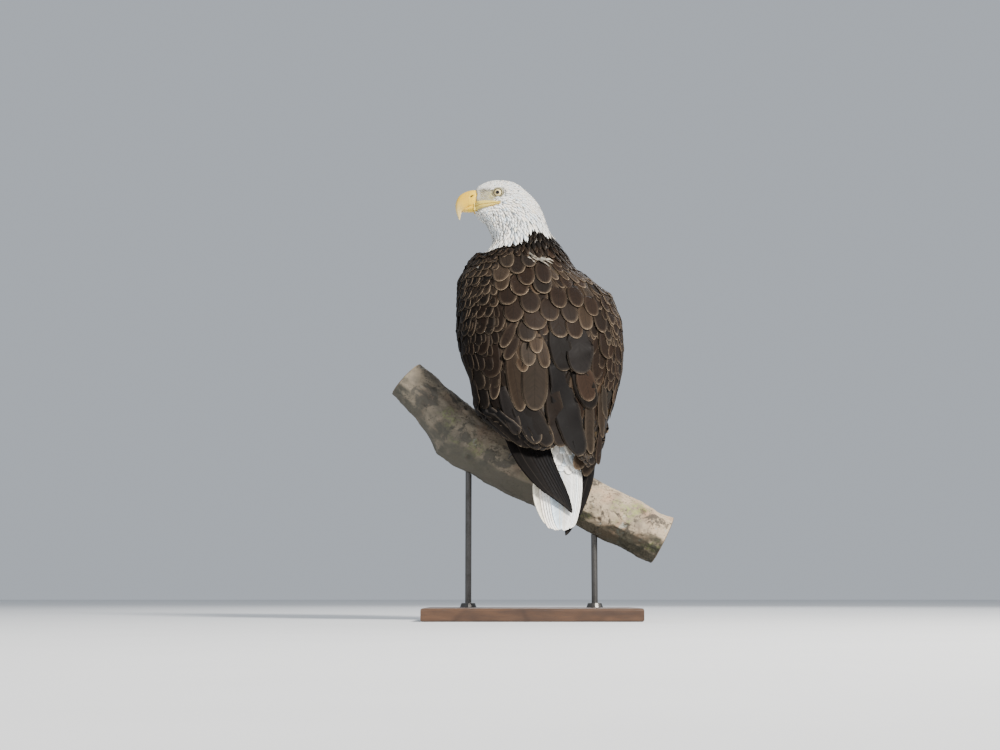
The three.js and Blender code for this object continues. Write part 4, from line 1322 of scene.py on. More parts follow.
def eyeball(side):
    """The ball with its clear bulge; reach and spin tell its material the place on the iris."""
    centre = eye_centre(side)
    gaze, across, above = eye_axes(side)
    rings, sides = 56, 72
    polar = np.linspace(0.0, math.pi, rings + 1)[1:-1]
    radius = EYE_RADIUS + EYE_BULGE * np.exp(-((polar / 0.62) ** 4))
    turn = 2 * np.pi * np.arange(sides) / sides
    out = (radius * np.cos(polar))[:, None, None]
    wide = (radius * np.sin(polar))[:, None, None]
    points = (
        centre + gaze * out + across * np.cos(turn)[:, None] * wide + above * np.sin(turn)[:, None] * wide
    ).reshape(-1, 3)
    ends = np.stack([centre + gaze * (EYE_RADIUS + EYE_BULGE), centre - gaze * EYE_RADIUS])
    last, first = len(points), len(points) - sides
    faces = tube_faces(rings - 1, sides, caps=False)
    faces += [(last, (k + 1) % sides, k) for k in range(sides)]
    faces += [(last + 1, first + k, first + (k + 1) % sides) for k in range(sides)]
    piece = new_object(f"eye_{SIDE_NAMES[side]}_ball", np.concatenate([points, ends]), faces)
    outward(piece)
    reach = np.where(polar > math.pi / 2, NO_IRIS, np.sin(polar) * EYE_RADIUS)
    add_values(piece, "reach", np.append(reach.repeat(sides), [0, 0]))
    spin = np.append(np.tile(turn, rings - 1), [0, 0])
    add_values(piece, "spin", np.stack([np.cos(spin), np.sin(spin), 0 * spin], -1), "FLOAT_VECTOR")
    return piece


LID_INNER = 8.3  # mm from the middle of the eye to the rim of the lids
LID_PROFILE = [  # mm from the eye's middle, and over the ball's front
    (7.9, -3.4), (8.15, -1.9), (8.3, -1.0), (8.75, -0.45), (9.4, -0.5), (10.1, -0.9), (11.0, -1.7),
    (12.4, -3.4),
]
LID_SIDES = 64
LID_BAND = 1.6  # mm round the lids' rim over which the skin draws in behind them
LID_BARE = 4  # rings that have the colour of the rim; the outer ones are paler


def lid_rings():
    """The naked rim of the lids round each eye, sinking into the skin outside."""
    points, faces = [], []
    for side in (LEFT, RIGHT):
        centre = eye_centre(side)
        gaze, across, above = eye_axes(side)
        start = len(points)
        for reach, high in LID_PROFILE:
            for turn in 2 * math.pi * np.arange(LID_SIDES) / LID_SIDES:
                forward_side = -np.sign(across[0]) * math.cos(turn)
                corner = 1 + 0.10 * max(forward_side, 0) ** 6  # the inner corner reaches forward
                brow = 1 - 0.10 * max(math.sin(turn), 0) ** 2  # the upper lid lies lower
                level = EYE_RADIUS + high + 0.5 * max(math.sin(turn), 0)
                out = across * math.cos(turn) * corner + above * math.sin(turn) * brow
                points.append(centre + gaze * level * 0.86 + out * reach)
        for i in range(len(LID_PROFILE) - 1):
            for k in range(LID_SIDES):
                a, b = start + i * LID_SIDES + k, start + i * LID_SIDES + (k + 1) % LID_SIDES
                faces.append((a, b, b + LID_SIDES, a + LID_SIDES))
    return np.array(points), faces


# ---------------------------------------------------------------- the skin


def face_form(points):
    """How far the skin of the face stands out or in, in millimetres."""
    forward, high, right = head_place(points)
    near = smooth((np.abs(right) - 4) / 4)
    brow = 1.7 * bump_at(high, 1.9 - 0.03 * (forward - 8), 1.3)
    brow = brow * smooth((forward + 5) / 4) * smooth((20 - forward) / 5)
    under = -1.5 * bump_at(high, -0.7, 1.1) * smooth((forward - 3) / 3) * smooth((18 - forward) / 4)
    lores = -0.7 * bump_at(high, -6.8, 3.6) * bump_at(forward, 11, 5.0)
    socket = np.hypot(forward - EYE["forward"], (high - EYE["up"]) * 1.05)
    rim = 0.7 * bump_at(socket, 5.9, 0.9)
    fold = -0.55 * bump_at(high + 0.35 * (forward - 6), -10.3, 0.5) * bump_at(forward, 5.5, 3.5)
    return (brow + under + lores + rim + fold) * near


MOST_DEPTH = 0.36  # how deep the skin may lie, as a part of how thick the flesh is there
WING_SKIN_RISE = 13  # mm that the skin draws up from the wings' lower edges, which are nothing but vanes


def skin_points():
    """The form's points moved in under the coat, with the face's forms and open sockets for the eyes."""
    points = form.points.copy()
    normals = normals_of(points, form.faces)
    depth = depth_of_coat(points)
    for i in np.nonzero(depth > 1.5)[0]:
        _, _, through = form.hit(points[i] - normals[i] * 0.4, -normals[i])
        if through is not None:
            depth[i] = min(depth[i], MOST_DEPTH * through)
    points = points - normals * depth[:, None]
    turn, up = round_body(points)
    forward, right, _ = bird_place(points)
    middle, half, back, front, shift = hull_row(up)
    out = np.hypot((right - shift) / half, (forward - middle) / np.where(forward < middle, back, front))
    inner, outer = wing_sides(up)
    for side in (LEFT, RIGHT):
        across = (turn * side - inner) / (outer - inner)
        ends = (across > -0.15) & (across < 1.2) & (out > 0.72) & (up < 60)
        points[:, 2] += WING_SKIN_RISE * ends * smooth((wing_edge(across, side) + 18 - up) / 24)
    forward, high, _ = head_place(points)
    near_head = (high > -30) & (forward > -14)
    points = points + normals * (face_form(points) * near_head)[:, None]
    for side in (LEFT, RIGHT):  # the ball of the eye stands in the open between the lids
        centre = eye_centre(side)
        away = points - centre
        level = np.hypot(away[:, 0], away[:, 2])
        beside = (np.abs(away[:, 1]) < 16) & (level < LID_INNER + LID_BAND)
        deep = smooth((LID_INNER + LID_BAND - level) / LID_BAND)
        points[:, 1] = np.where(beside, lerp(points[:, 1], centre[1] - side, deep), points[:, 1])
    return points


def skin_colours(points):
    """The skin's colour at its points, with 1 on the legs as a fourth value."""
    forward, high, right = head_place(points)
    turn, up = round_body(points)
    near_face = (forward > 0) & (forward < 24) & (high > -16) & (high < 4)
    white = up > hood_edge(turn) + 3
    colour = np.where(white[:, None], WHITE * 0.97, BROWN * 0.7)
    bare = face_bare(forward, high, right) & (high > -30)
    greenish = bump_at(forward, 6.5, 3.2) * bump_at(high, -5.5, 4.5)
    # painted shade: the lores darker under the front of the brow and along the fold under the eye
    before_eye = bump_at(forward, 15.5, 2.6) * bump_at(high, -0.6, 2.6)
    under_eye = bump_at(forward, 6.2, 1.8) * bump_at(high + 0.5 * (forward - 6.2), -9.6, 1.2)
    painted_hollow_shade = np.clip(1.25 * before_eye + 0.9 * under_eye, 0, 1)
    lores = lerp(LORES, GREENISH, greenish[:, None]) * (1 - 0.45 * painted_hollow_shade)[:, None]
    lores = lores * (1 + 0.16 * noise_at(points * near_face[:, None], 2.2, 4))[:, None]
    downy = smooth((forward - 17.0) / 3) * smooth((high + 12) / 4)
    lores = lerp(lores, WHITE * 0.9, (0.65 * downy)[:, None])
    colour = np.where((bare & white)[:, None], lores, colour)
    gape = smooth((-12.2 - high) / 1.2) * (forward > -4) * (forward < 24) * (high > -18)
    colour = np.where((gape > 0.5)[:, None] & bare[:, None], FOOT_YELLOW, colour)
    dark = (from_eye(forward, high) < 5.6) & (high > -13.5)
    colour = np.where(dark[:, None], RIM_GREY, colour)
    # painted shadow: a dark line under the brow ridge, from the eye forward
    line = bump_at(high, -0.8, 1.6) * smooth((forward - 2) / 2) * smooth((18 - forward) / 3) * white
    colour = lerp(colour, BROW_PAINTED_SHADOW, (0.9 * line)[:, None])
    legs = on_legs(points) > 0.3
    colour = np.where(legs[:, None], FOOT_YELLOW, colour)
    return np.concatenate([colour, legs[:, None]], 1)


def skin_piece(material):
    """The skin of the whole bird with the rims of the lids."""
    points = skin_points()
    lid_points, lid_faces = lid_rings()
    base = len(points)
    points = np.concatenate([points, lid_points])
    faces = list(form.faces) + [tuple(i + base for i in face) for face in lid_faces]
    piece = new_object("skin", points, faces)
    colours = skin_colours(points)
    ring = np.arange(len(lid_points)) // LID_SIDES % len(LID_PROFILE)
    colours[base:, :3] = np.where(ring[:, None] < LID_BARE, RIM_GREY, lerp(RIM_GREY, LORES, 0.35))
    add_values(piece, "tint", colours, "FLOAT_COLOR")
    piece.data.materials.append(material)
    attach(piece, "root")
    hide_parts(*FLESH)
    return piece


# ---------------------------------------------------------------- the branch, and the feet's places on it

PERCH_Y = 30
PERCH = np.array([  # x, z and radius along the branch
    [-240, 462, 40], [-188, 414, 43], [-136, 364, 49], [-82, 320, 52], [-30, 288, 51],
    [26, 262, 50], [80, 236, 50], [136, 208, 49], [192, 180, 49], [252, 149, 48],
], float)
FOOT_SHARE = {LEFT: 0.425, RIGHT: 0.595}  # where each foot stands along the branch
FOOT_TURN = -0.2  # and round it, in radians
TOES = {  # degrees of spread, way round the branch, length, radius at root and tip, claw length and radius
    "inner": (-24, 1, 58, 9.6, 8.0, 40, 5.4),
    "middle": (0, 1, 76, 9.4, 7.6, 36, 4.8),
    "outer": (26, 1, 62, 8.6, 6.8, 30, 4.2),
    "hind": (6, -1, 40, 9.6, 8.4, 42, 5.6),
}


def perch_frame(share):
    """The branch's centre, its direction, the way up from it and its radius, at a share of its length."""
    x, z, radius = curve_at(PERCH, share)
    before, after = curve_at(PERCH, max(0, share - 0.01)), curve_at(PERCH, min(1, share + 0.01))
    along = unit(np.array([after[0] - before[0], 0, after[1] - before[1]]))
    return np.array([x, PERCH_Y, z]), along, np.array([-along[2], 0, along[0]]), radius


def perch_point(share, turn, above):
    """A point over the bark, turned round the branch from its top."""
    centre, _, over, radius = perch_frame(share)
    reach = radius + above
    return centre + over * reach * math.cos(turn) + np.array([0, 1, 0]) * reach * math.sin(turn)


PERCH_LENGTH = float(sum(
    np.linalg.norm(perch_frame(k / 100)[0] - perch_frame((k - 1) / 100)[0]) for k in range(1, 101)
))


def toe_point(side, spread, way, distance, above):
    """A point over the bark at that distance down a toe from the foot's middle."""
    slant = math.radians(spread) * side
    share = FOOT_SHARE[side] + distance * math.sin(slant) / PERCH_LENGTH
    radius = perch_frame(share)[3]
    return perch_point(share, FOOT_TURN + way * distance * math.cos(slant) / (radius + 8), above)


def scute(coat, place, toward, width, length, lift, thick=0.9):
    """One plate of horn on the skin of a foot."""
    lay_vane(
        coat, place, toward, length, width, "scale", varied(FOOT_YELLOW, 0.07), 0.0, grid=(4, 6), sunk=0.9,
        lift=lift, cup=0.01, thick=thick,
    )


BROAD_SCUTE = (11.5, 8.0, 0.7)  # on the shank's front: width, length, height over the skin
SMALL_SCUTE = (5.6, 6.4, 0.45)  # round its sides and back


def toe_scutes(coat, side, toe):
    """Broad plates down the top of a toe, with two rows of small ones on either side."""
    spread, way, length, root_radius, tip_radius, _, _ = toe
    distance = 7.0
    while distance < length - 2:
        share = distance / length
        radius = lerp(root_radius, tip_radius, share)
        here, ahead = (toe_point(side, spread, way, d, radius * 2 + 6) for d in (distance, distance + 4))
        below = toe_point(side, spread, way, distance, 0)
        place, _, _ = form.hit(here, unit(below - here))
        if place is not None:
            scute(coat, place, ahead - here, radius * 1.55, 7.4, 0.75)
            aside = unit(np.cross(ahead - here, here - below))
            down = unit(here - below) * radius * 0.55
            for flank in (-1, 1):
                for step, size in ((0.95, 4.4), (1.35, 3.4)):
                    beside, _ = form.nearest(place + aside * flank * radius * step * 0.95 - down * step)
                    scute(coat, beside, ahead - here, size, 5.6, 0.45, 0.6)
        distance += 4.6 if share < 0.55 else 4.0


def shank_scutes(coat, side):
    """Plates round the shank up to the thigh's feathers, broad ones down its front."""
    low = toe_point(side, 0, 1, 0, 16)
    forward, right, up = bird_place(low)
    high = bird_point(forward - 6, right, up + 62)
    axis = unit(high - low)
    front = unit(FORWARD - axis * np.dot(FORWARD, axis))
    for k in range(10):
        level = low + (high - low) * (0.04 + 0.082 * k)
        for turn in np.radians([-130, -90, -52, 0, 52, 90, 130, 180]):
            out = front * math.cos(turn) + np.cross(axis, front) * math.sin(turn)
            place, _, _ = form.hit(level + out * 24, -out)
            if place is not None and place[2] - FEET[2] < thigh_end(place) - 2:
                scute(coat, place, -axis, *(BROAD_SCUTE if turn == 0 else SMALL_SCUTE), 0.8)


def scutes():
    """The plates of horn on both feet."""
    coat = Coat("foot_scutes")
    for side in (LEFT, RIGHT):
        for toe in TOES.values():
            toe_scutes(coat, side, toe)
        shank_scutes(coat, side)
    return coat


CLAW_RINGS, CLAW_SIDES = 26, 20


def claw_points(side, toe):
    """Rings of points down a claw, which arches over the bark and ends in a point on it."""
    spread, way, length, _, tip_radius, reach, radius = toe

    def over_bark(t, above):
        return toe_point(side, spread, way, length - 2 + reach * t * (1 - 0.1 * t), above)

    shares = np.linspace(0, 1, CLAW_RINGS)
    spine = np.array([
        over_bark(t, (tip_radius + 1) * (1 - t**1.6) + 7 * math.sin(math.pi * t**0.9) + 0.6 * t)
        for t in shares
    ])
    turns = 2 * math.pi * np.arange(CLAW_SIDES) / CLAW_SIDES
    from_below = (turns - 1.5 * math.pi + math.pi) % (2 * math.pi) - math.pi
    groove = 1 - 0.10 * np.exp(-((from_below / 0.5) ** 2))
    points = []
    for t, centre, ahead in zip(shares, spine, unit(np.gradient(spine, axis=0))):
        aside = unit(np.cross(ahead, unit(over_bark(t, 60) - centre)))
        above = np.cross(aside, ahead)
        size = max(0.35, radius * (1 - t) ** 0.72)
        ring = aside * np.cos(turns)[:, None] * 0.9 + above * np.sin(turns)[:, None]
        points.append(centre + ring * size * groove[:, None])
    return np.concatenate(points)


def claw_pieces(material):
    """A claw of horn for each toe."""
    for side, word in SIDE_NAMES.items():
        for toe, measures in TOES.items():
            faces = tube_faces(CLAW_RINGS, CLAW_SIDES)
            piece = new_object(f"claw_{word}_{toe}_horn", claw_points(side, measures), faces)
            outward(piece)
            add_values(piece, "along", np.linspace(0, 1, CLAW_RINGS).repeat(CLAW_SIDES))
            piece.data.materials.append(material)
            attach(piece, "root")
            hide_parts(f"claw_{word}_{toe}")


KNOTS = (  # share along the branch, turn round it in radians, size in mm
    (0.10, -1.9, 10), (0.20, -0.7, 7), (0.30, -2.2, 9), (0.70, -1.2, 9), (0.78, -2.0, 6), (0.90, -0.9, 8),
    (0.62, 2.2, 9), (0.86, 1.9, 10), (0.13, 1.6, 8),
)


def perch_piece(material):
    """Bark with plates, cracks, rings and knots over the branch's own form; the ends are sawn."""
    points, faces = remeshed(["perch"], 2.1)
    start, end = perch_frame(0.0), perch_frame(1.0)
    from_start = (points - start[0]) @ start[1]
    from_end = (end[0] - points) @ end[1]
    from_cut = np.minimum(from_start, from_end)
    inside = smooth((from_cut - 2.0) / 5)
    points = eased(points, edges_of(faces), 0.05 + 0.9 * inside, 30)
    normals = normals_of(points, faces)
    along_row = unit(PERCH[-1, :2] - PERCH[0, :2])
    run = points[:, 0] * along_row[0] + points[:, 2] * along_row[1]
    broad = noise_at(points, 46, 1, 2)
    plates = noise_at(points * np.array([0.55, 1, 1]), 15, 2, 3)
    fine = noise_at(points, 5.5, 3, 3)
    ring = np.exp(-((np.mod(run + 9 * broad, 34) - 17) / 2.2) ** 2)
    ring = ring * smooth(noise_at(points, 30, 5) * 2 + 0.4)
    crack = np.exp(-(plates / 0.05) ** 2) * smooth(broad * 2 + 0.6)
    rise = 0.9 * broad + 0.8 * plates + 0.45 * fine - 1.1 * crack + 0.7 * ring
    # knots: swollen lips round a sunken middle
    knot_mask = np.zeros(len(points))
    for share, turn, size in KNOTS:
        away = np.linalg.norm(points - perch_point(share, turn, 0), axis=1) / size
        rise += 2.0 * np.exp(-((away - 0.9) / 0.45) ** 2) - 2.6 * np.exp(-((away / 0.5) ** 2))
        knot_mask = np.maximum(knot_mask, np.exp(-((away / 0.9) ** 2)))
    # lower under the feet
    feet = np.array([perch_point(FOOT_SHARE[side], 0.1, 0) for side in (LEFT, RIGHT)])
    near = np.min(np.linalg.norm(points[:, None] - feet[None], axis=2), axis=1)
    rise = rise * (0.35 + 0.65 * smooth((near - 55) / 40)) - 0.5
    points = points + normals * (rise * (0.12 + 0.88 * inside))[:, None]
    piece = new_object("perch_bark", points, faces)
    for name, values in (
        ("run", run), ("crack", crack), ("knot", knot_mask), ("cut", 1 - smooth((from_cut - 0.4) / 1.6)),
        ("under", -normals[:, 2]),
    ):
        add_values(piece, name, values)
    heart = np.where((from_start < from_end)[:, None], points - start[0], points - end[0])
    add_values(piece, "heart", heart * MM, "FLOAT_VECTOR")
    piece.data.materials.append(material)
    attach(piece, "root")
    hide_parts("perch")
    return piece


# ---------------------------------------------------------------- finishes


class Graph:
    """Short ways to add and join shader nodes."""

    def __init__(self, tree):
        self.tree = tree

    def add(self, kind, *links, **settings):
        """A new node with its settings, and values or other nodes' outputs for its inputs."""
        node = self.tree.nodes.new(kind)
        for key, value in settings.items():
            setattr(node, key, value)
        for socket, value in links:
            self.feed(node.inputs[socket], value)
        return node

    def feed(self, socket, value):
        if isinstance(value, bpy.types.NodeSocket):
            self.tree.links.new(value, socket)
        elif isinstance(value, (tuple, list, np.ndarray)):
            value = [float(v) for v in value]
            socket.default_value = value + [1.0] * (len(socket.default_value) - len(value))
        else:
            socket.default_value = value

    def math(self, operation, first, second=0.0, third=0.0, clamp=False):
        node = self.add("ShaderNodeMath", (0, first), (1, second), (2, third), operation=operation)
        node.use_clamp = clamp
        return node.outputs[0]

    def times(self, first, second):
        return self.math("MULTIPLY", first, second)

    def plus(self, first, second):
        return self.math("ADD", first, second)

    def minus(self, first, second):
        return self.math("SUBTRACT", first, second)

    def mix(self, share, first, second, blend="MIX"):
        """Colours mixed; the inputs 6 and 7 are the two colours."""
        return self.add(
            "ShaderNodeMix", (0, share), (6, first), (7, second), data_type="RGBA", blend_type=blend,
        ).outputs[2]

    def blend(self, share, first, second):
        """Plain values mixed."""
        return self.add("ShaderNodeMix", (0, share), (2, first), (3, second), data_type="FLOAT").outputs[0]

    def over(self, colour, mask, amount, other):
        """The other colour laid over a colour by that amount of a mask."""
        return self.mix(self.times(mask, amount), colour, other)

    def vector(self, x, y, z):
        return self.add("ShaderNodeCombineXYZ", (0, x), (1, y), (2, z)).outputs[0]

    def shaded(self, colour, shade):
        """A colour made lighter or darker, 1 leaving it as it is."""
        return self.mix(1.0, colour, self.vector(shade, shade, shade), "MULTIPLY")

    def span(self, value, low, high, to_low=0.0, to_high=1.0):
        """A value between low and high as a soft step from to_low to to_high."""
        node = self.add("ShaderNodeMapRange", (0, value), (1, low), (2, high), (3, to_low), (4, to_high))
        node.interpolation_type = "SMOOTHSTEP"
        return node.outputs[0]

    def noise(self, vector, scale, detail=3.0, rough=0.5, warp=0.0):
        return self.add(
            "ShaderNodeTexNoise", ("Scale", scale), ("Detail", detail), ("Roughness", rough),
            ("Distortion", warp), ("Vector", vector),
        ).outputs["Fac"]

    def cells(self, vector, scale, feature="F1"):
        return self.add(
            "ShaderNodeTexVoronoi", ("Vector", vector), ("Scale", scale), feature=feature,
        ).outputs["Distance"]

    def scaled(self, vector, size):
        return self.add("ShaderNodeVectorMath", (0, vector), (1, size), operation="MULTIPLY").outputs[0]

    def attribute(self, name, output="Fac"):
        return self.add("ShaderNodeAttribute", attribute_name=name).outputs[output]

    def place(self):
        return self.add("ShaderNodeTexCoord").outputs["Object"]

    def group(self, tree, **values):
        node = self.add("ShaderNodeGroup")
        node.node_tree = tree
        for name, value in values.items():
            self.feed(node.inputs[name.replace("_", " ")], value)
        return node.outputs


def group_tree(name, inputs, outputs):
    """A new node group, as its graph, its given values and its outputs."""
    tree = bpy.data.node_groups.new(name, "ShaderNodeTree")
    for label, kind, value in inputs:
        socket = tree.interface.new_socket(label, in_out="INPUT", socket_type="NodeSocket" + kind)
        socket.default_value = (*value, 1.0) if kind == "Color" else value
    for label, kind in outputs:
        tree.interface.new_socket(label, in_out="OUTPUT", socket_type="NodeSocket" + kind)
    graph = Graph(tree)
    return graph, graph.add("NodeGroupInput").outputs, graph.add("NodeGroupOutput").inputs


def feather_group():
    """A vane's colour: barbs leaving the shaft, a pale fringe, a soft dark middle and the shaft's ridge."""
    g, given, out = group_tree(
        "vane",
        [("Fringe", "Color", (0.30, 0.24, 0.16)), ("Fringe width", "Float", 1.1),
         ("Shaft", "Color", (0.1, 0.07, 0.04)), ("Shaft width", "Float", 0.45), ("Barbs", "Float", 0.3),
         ("Wash", "Float", 0.25)],
        [("Color", "Color"), ("Roughness", "Float"), ("Height", "Float")],
    )
    uv = g.add("ShaderNodeUVMap", uv_map="vane").outputs[0]
    split = g.add("ShaderNodeSeparateXYZ", (0, uv)).outputs
    off = g.math("ABSOLUTE", g.times(g.minus(split[0], 0.5), 1 / VANE_UV))
    along = g.times(split[1], 1 / VANE_UV)
    draw = g.attribute("draw")
    rim = g.attribute("rim")
    tint = g.add("ShaderNodeAttribute", attribute_name="tint").outputs
    # lines of barbs slant away from the shaft toward the end
    phase = g.minus(along, g.times(off, 0.9))
    line = g.vector(g.times(phase, 2.4), g.times(off, 0.10), g.times(draw, 57.0))
    barbs = g.noise(line, 1.0, 2.0, 0.6)
    broad = g.vector(g.times(phase, 0.30), g.times(off, 0.07), g.times(draw, 91.0))
    bands = g.noise(broad, 1.0, 3.0, 0.55)
    shade = g.plus(g.times(g.minus(barbs, 0.5), given["Barbs"]), 1.0)
    shade = g.times(shade, g.span(bands, 0.25, 0.75, 0.84, 1.16))
    shade = g.times(shade, g.span(draw, 0.0, 1.0, 0.92, 1.08))
    shade = g.times(shade, g.span(rim, 1.5, 7.5, 1.22, 0.86))
    colour = g.shaded(tint["Color"], shade)
    # a soft paler wash toward the border, then the thin fringe, broken where barbs have parted
    wash = g.times(g.span(rim, 6.5, 0.5, 0.0, 1.0), g.times(tint["Alpha"], given["Wash"]))
    colour = g.mix(wash, colour, given["Fringe"])
    worn = g.noise(line, 0.35, 2.0, 0.6)
    width = g.times(given["Fringe width"], g.span(worn, 0.3, 0.7, 0.35, 1.25))
    edge = g.span(g.math("DIVIDE", rim, width), 1.25, 0.55)
    fringe = g.math("MULTIPLY", edge, tint["Alpha"], clamp=True)
    colour = g.mix(fringe, colour, given["Fringe"])
    shaft = g.span(g.math("DIVIDE", off, given["Shaft width"]), 1.25, 0.65, 0.0, 1.0)
    colour = g.over(colour, shaft, 0.75, given["Shaft"])
    g.feed(out["Color"], colour)
    g.feed(out["Roughness"], g.span(bands, 0.2, 0.8, 0.50, 0.68))
    g.feed(out["Height"], g.plus(g.times(barbs, 0.6), g.times(shaft, 0.8)))
    return g.tree


def mottle_group():
    """Broad stains and fine grain over any solid surface."""
    g, given, out = group_tree(
        "mottle",
        [("Vector", "Vector", (0, 0, 0)), ("Color", "Color", (0.5, 0.5, 0.5)),
         ("Stain", "Color", (0.2, 0.15, 0.1)), ("Stain size", "Float", 40.0), ("Stain amount", "Float", 0.4),
         ("Grain size", "Float", 600.0), ("Grain amount", "Float", 0.15)],
        [("Color", "Color"), ("Mask", "Float"), ("Grain", "Float")],
    )
    broad = g.noise(given["Vector"], given["Stain size"], 4.0, 0.6, 0.3)
    grain = g.noise(given["Vector"], given["Grain size"], 3.0, 0.6)
    mask = g.span(broad, 0.42, 0.68)
    colour = g.over(given["Color"], mask, given["Stain amount"], given["Stain"])
    shade = g.plus(g.times(g.minus(grain, 0.5), given["Grain amount"]), 1.0)
    colour = g.shaded(colour, shade)
    g.feed(out["Color"], colour)
    g.feed(out["Mask"], mask)
    g.feed(out["Grain"], grain)
    return g.tree


VANE = feather_group()
MOTTLE = mottle_group()


def new_material(name, **settings):
    """A material with its shader; settings are plain values of the shader's own sockets."""
    material = bpy.data.materials.new(name)
    material.use_nodes = True
    graph = Graph(material.node_tree)
    shader = material.node_tree.nodes["Principled BSDF"]
    for label, value in settings.items():
        graph.feed(shader.inputs[label.replace("_", " ")], value)
    return material, graph, shader.inputs


def raised(graph, shader, height, strength, distance):
    """Feeds a height to the shader's normal; distance is in metres."""
    node = graph.add("ShaderNodeBump", ("Height", height), ("Strength", strength), ("Distance", distance))
    graph.feed(shader["Normal"], node.outputs[0])


def plumage(name, fringe, fringe_width, shaft, shaft_width, barbs, wash, relief=0.5, sheen=0.01):
    """The finish of one kind of vane; widths are in millimetres."""
    material, g, shader = new_material(
        name, Sheen_Weight=sheen, Sheen_Roughness=0.45, Specular_IOR_Level=0.07,
    )
    vane = g.group(
        VANE, Fringe=fringe, Fringe_width=fringe_width, Shaft=shaft, Shaft_width=shaft_width, Barbs=barbs,
        Wash=wash,
    )
    g.feed(shader["Base Color"], vane["Color"])
    g.feed(shader["Roughness"], vane["Roughness"])
    raised(g, shader, vane["Height"], relief, 0.0004)
    return material


def skin_finish():
    """Pebbled yellow skin on the legs, fine creases on the bare face, plain skin under the coat."""
    material, g, shader = new_material("skin", Specular_IOR_Level=0.4)
    place = g.place()
    tint = g.add("ShaderNodeAttribute", attribute_name="tint").outputs
    mottle = g.group(
        MOTTLE, Vector=place, Color=tint["Color"], Stain=(0.16, 0.10, 0.03), Stain_size=70.0,
        Stain_amount=0.22, Grain_size=900.0, Grain_amount=0.25,
    )
    pebbles = g.cells(place, 620.0, "DISTANCE_TO_EDGE")
    seams = g.span(pebbles, 0.0, 0.09, 0.0, 1.0)
    seams = g.blend(tint["Alpha"], 1.0, seams)
    colour = g.mix(seams, (0.22, 0.12, 0.02), mottle["Color"])
    g.feed(shader["Base Color"], colour)
    g.feed(shader["Roughness"], g.span(mottle["Grain"], 0.3, 0.7, 0.42, 0.62))
    fine = g.noise(place, 1600.0, 2.0, 0.6)
    raised(g, shader, g.plus(g.times(seams, 0.8), g.times(fine, 0.35)), 0.6, 0.0005)
    return material


def scute_finish():
    """Horny plates, paler at their borders, with dirt between them."""
    material, g, shader = new_material("scute", Specular_IOR_Level=0.45)
    rim = g.attribute("rim")
    tint = g.attribute("tint", "Color")
    mottle = g.group(
        MOTTLE, Vector=g.place(), Color=tint, Stain=(0.24, 0.13, 0.02), Stain_size=140.0,
        Stain_amount=0.35, Grain_size=1500.0, Grain_amount=0.25,
    )
    border = g.span(rim, 0.0, 0.6, 1.0, 0.0)
    g.feed(shader["Base Color"], g.over(mottle["Color"], border, 0.55, (0.28, 0.15, 0.03)))
    g.feed(shader["Roughness"], g.span(mottle["Grain"], 0.3, 0.7, 0.34, 0.55))
    raised(g, shader, mottle["Grain"], 0.35, 0.0003)
    return material


def bill_finish():
    """Yellow horn: a waxy cere, fine growth lines, a paler worn tip, and nostrils painted near black as the
    shade inside them.
    """
    material, g, shader = new_material("bill_horn", Specular_IOR_Level=0.5, Coat_Roughness=0.25)
    place = g.place()
    along, high = g.attribute("along"), g.attribute("high")
    mottle = g.group(
        MOTTLE, Vector=place, Color=(0.94, 0.58, 0.035), Stain=(0.86, 0.49, 0.03), Stain_size=55.0,
        Stain_amount=0.5, Grain_size=1200.0, Grain_amount=0.10,
    )
    cere = g.span(g.plus(along, g.times(high, 0.07)), 28.2, 29.6, 1.0, 0.0)
    colour = g.over(mottle["Color"], cere, 0.75, (0.95, 0.62, 0.03))
    tip = g.span(g.minus(along, g.times(g.plus(high, 8.0), 0.9)), 38.0, 56.0)
    colour = g.over(colour, tip, 0.75, (0.86, 0.68, 0.32))
    growth = g.noise(g.vector(g.times(along, 1.6), g.times(high, 0.16), 0.0), 1.0, 3.0, 0.55)
    colour = g.over(colour, g.span(growth, 0.52, 0.70), 0.30, (0.50, 0.30, 0.08))
    # painted shade: the nostril's hollow painted near black, for the dark opening
    colour = g.mix(g.span(g.attribute("hollow"), 0.25, 0.75), colour, (0.035, 0.022, 0.012))
    g.feed(shader["Base Color"], colour)
    g.feed(shader["Roughness"], g.blend(cere, g.span(growth, 0.3, 0.7, 0.26, 0.38), 0.46))
    g.feed(shader["Coat Weight"], g.blend(cere, 0.25, 0.05))
    raised(g, shader, g.plus(growth, g.times(mottle["Grain"], 0.4)), 0.25, 0.0004)
    return material


def gape_finish():
    """Yellow skin with fine creases along the mouth."""
    material, g, shader = new_material("gape_skin", Specular_IOR_Level=0.45)
    place = g.place()
    mottle = g.group(
        MOTTLE, Vector=place, Color=(0.90, 0.68, 0.15), Stain=(0.80, 0.55, 0.12), Stain_size=120.0,
        Stain_amount=0.5, Grain_size=1500.0, Grain_amount=0.15,
    )
    crease = g.noise(g.scaled(place, (300.0, 300.0, 1800.0)), 1.0, 2.0, 0.5)
    creased = g.over(mottle["Color"], g.span(crease, 0.55, 0.75), 0.3, (0.5, 0.3, 0.06))
    g.feed(shader["Base Color"], creased)
    g.feed(shader["Roughness"], g.span(mottle["Grain"], 0.3, 0.7, 0.36, 0.5))
    raised(g, shader, crease, 0.3, 0.0004)
    return material


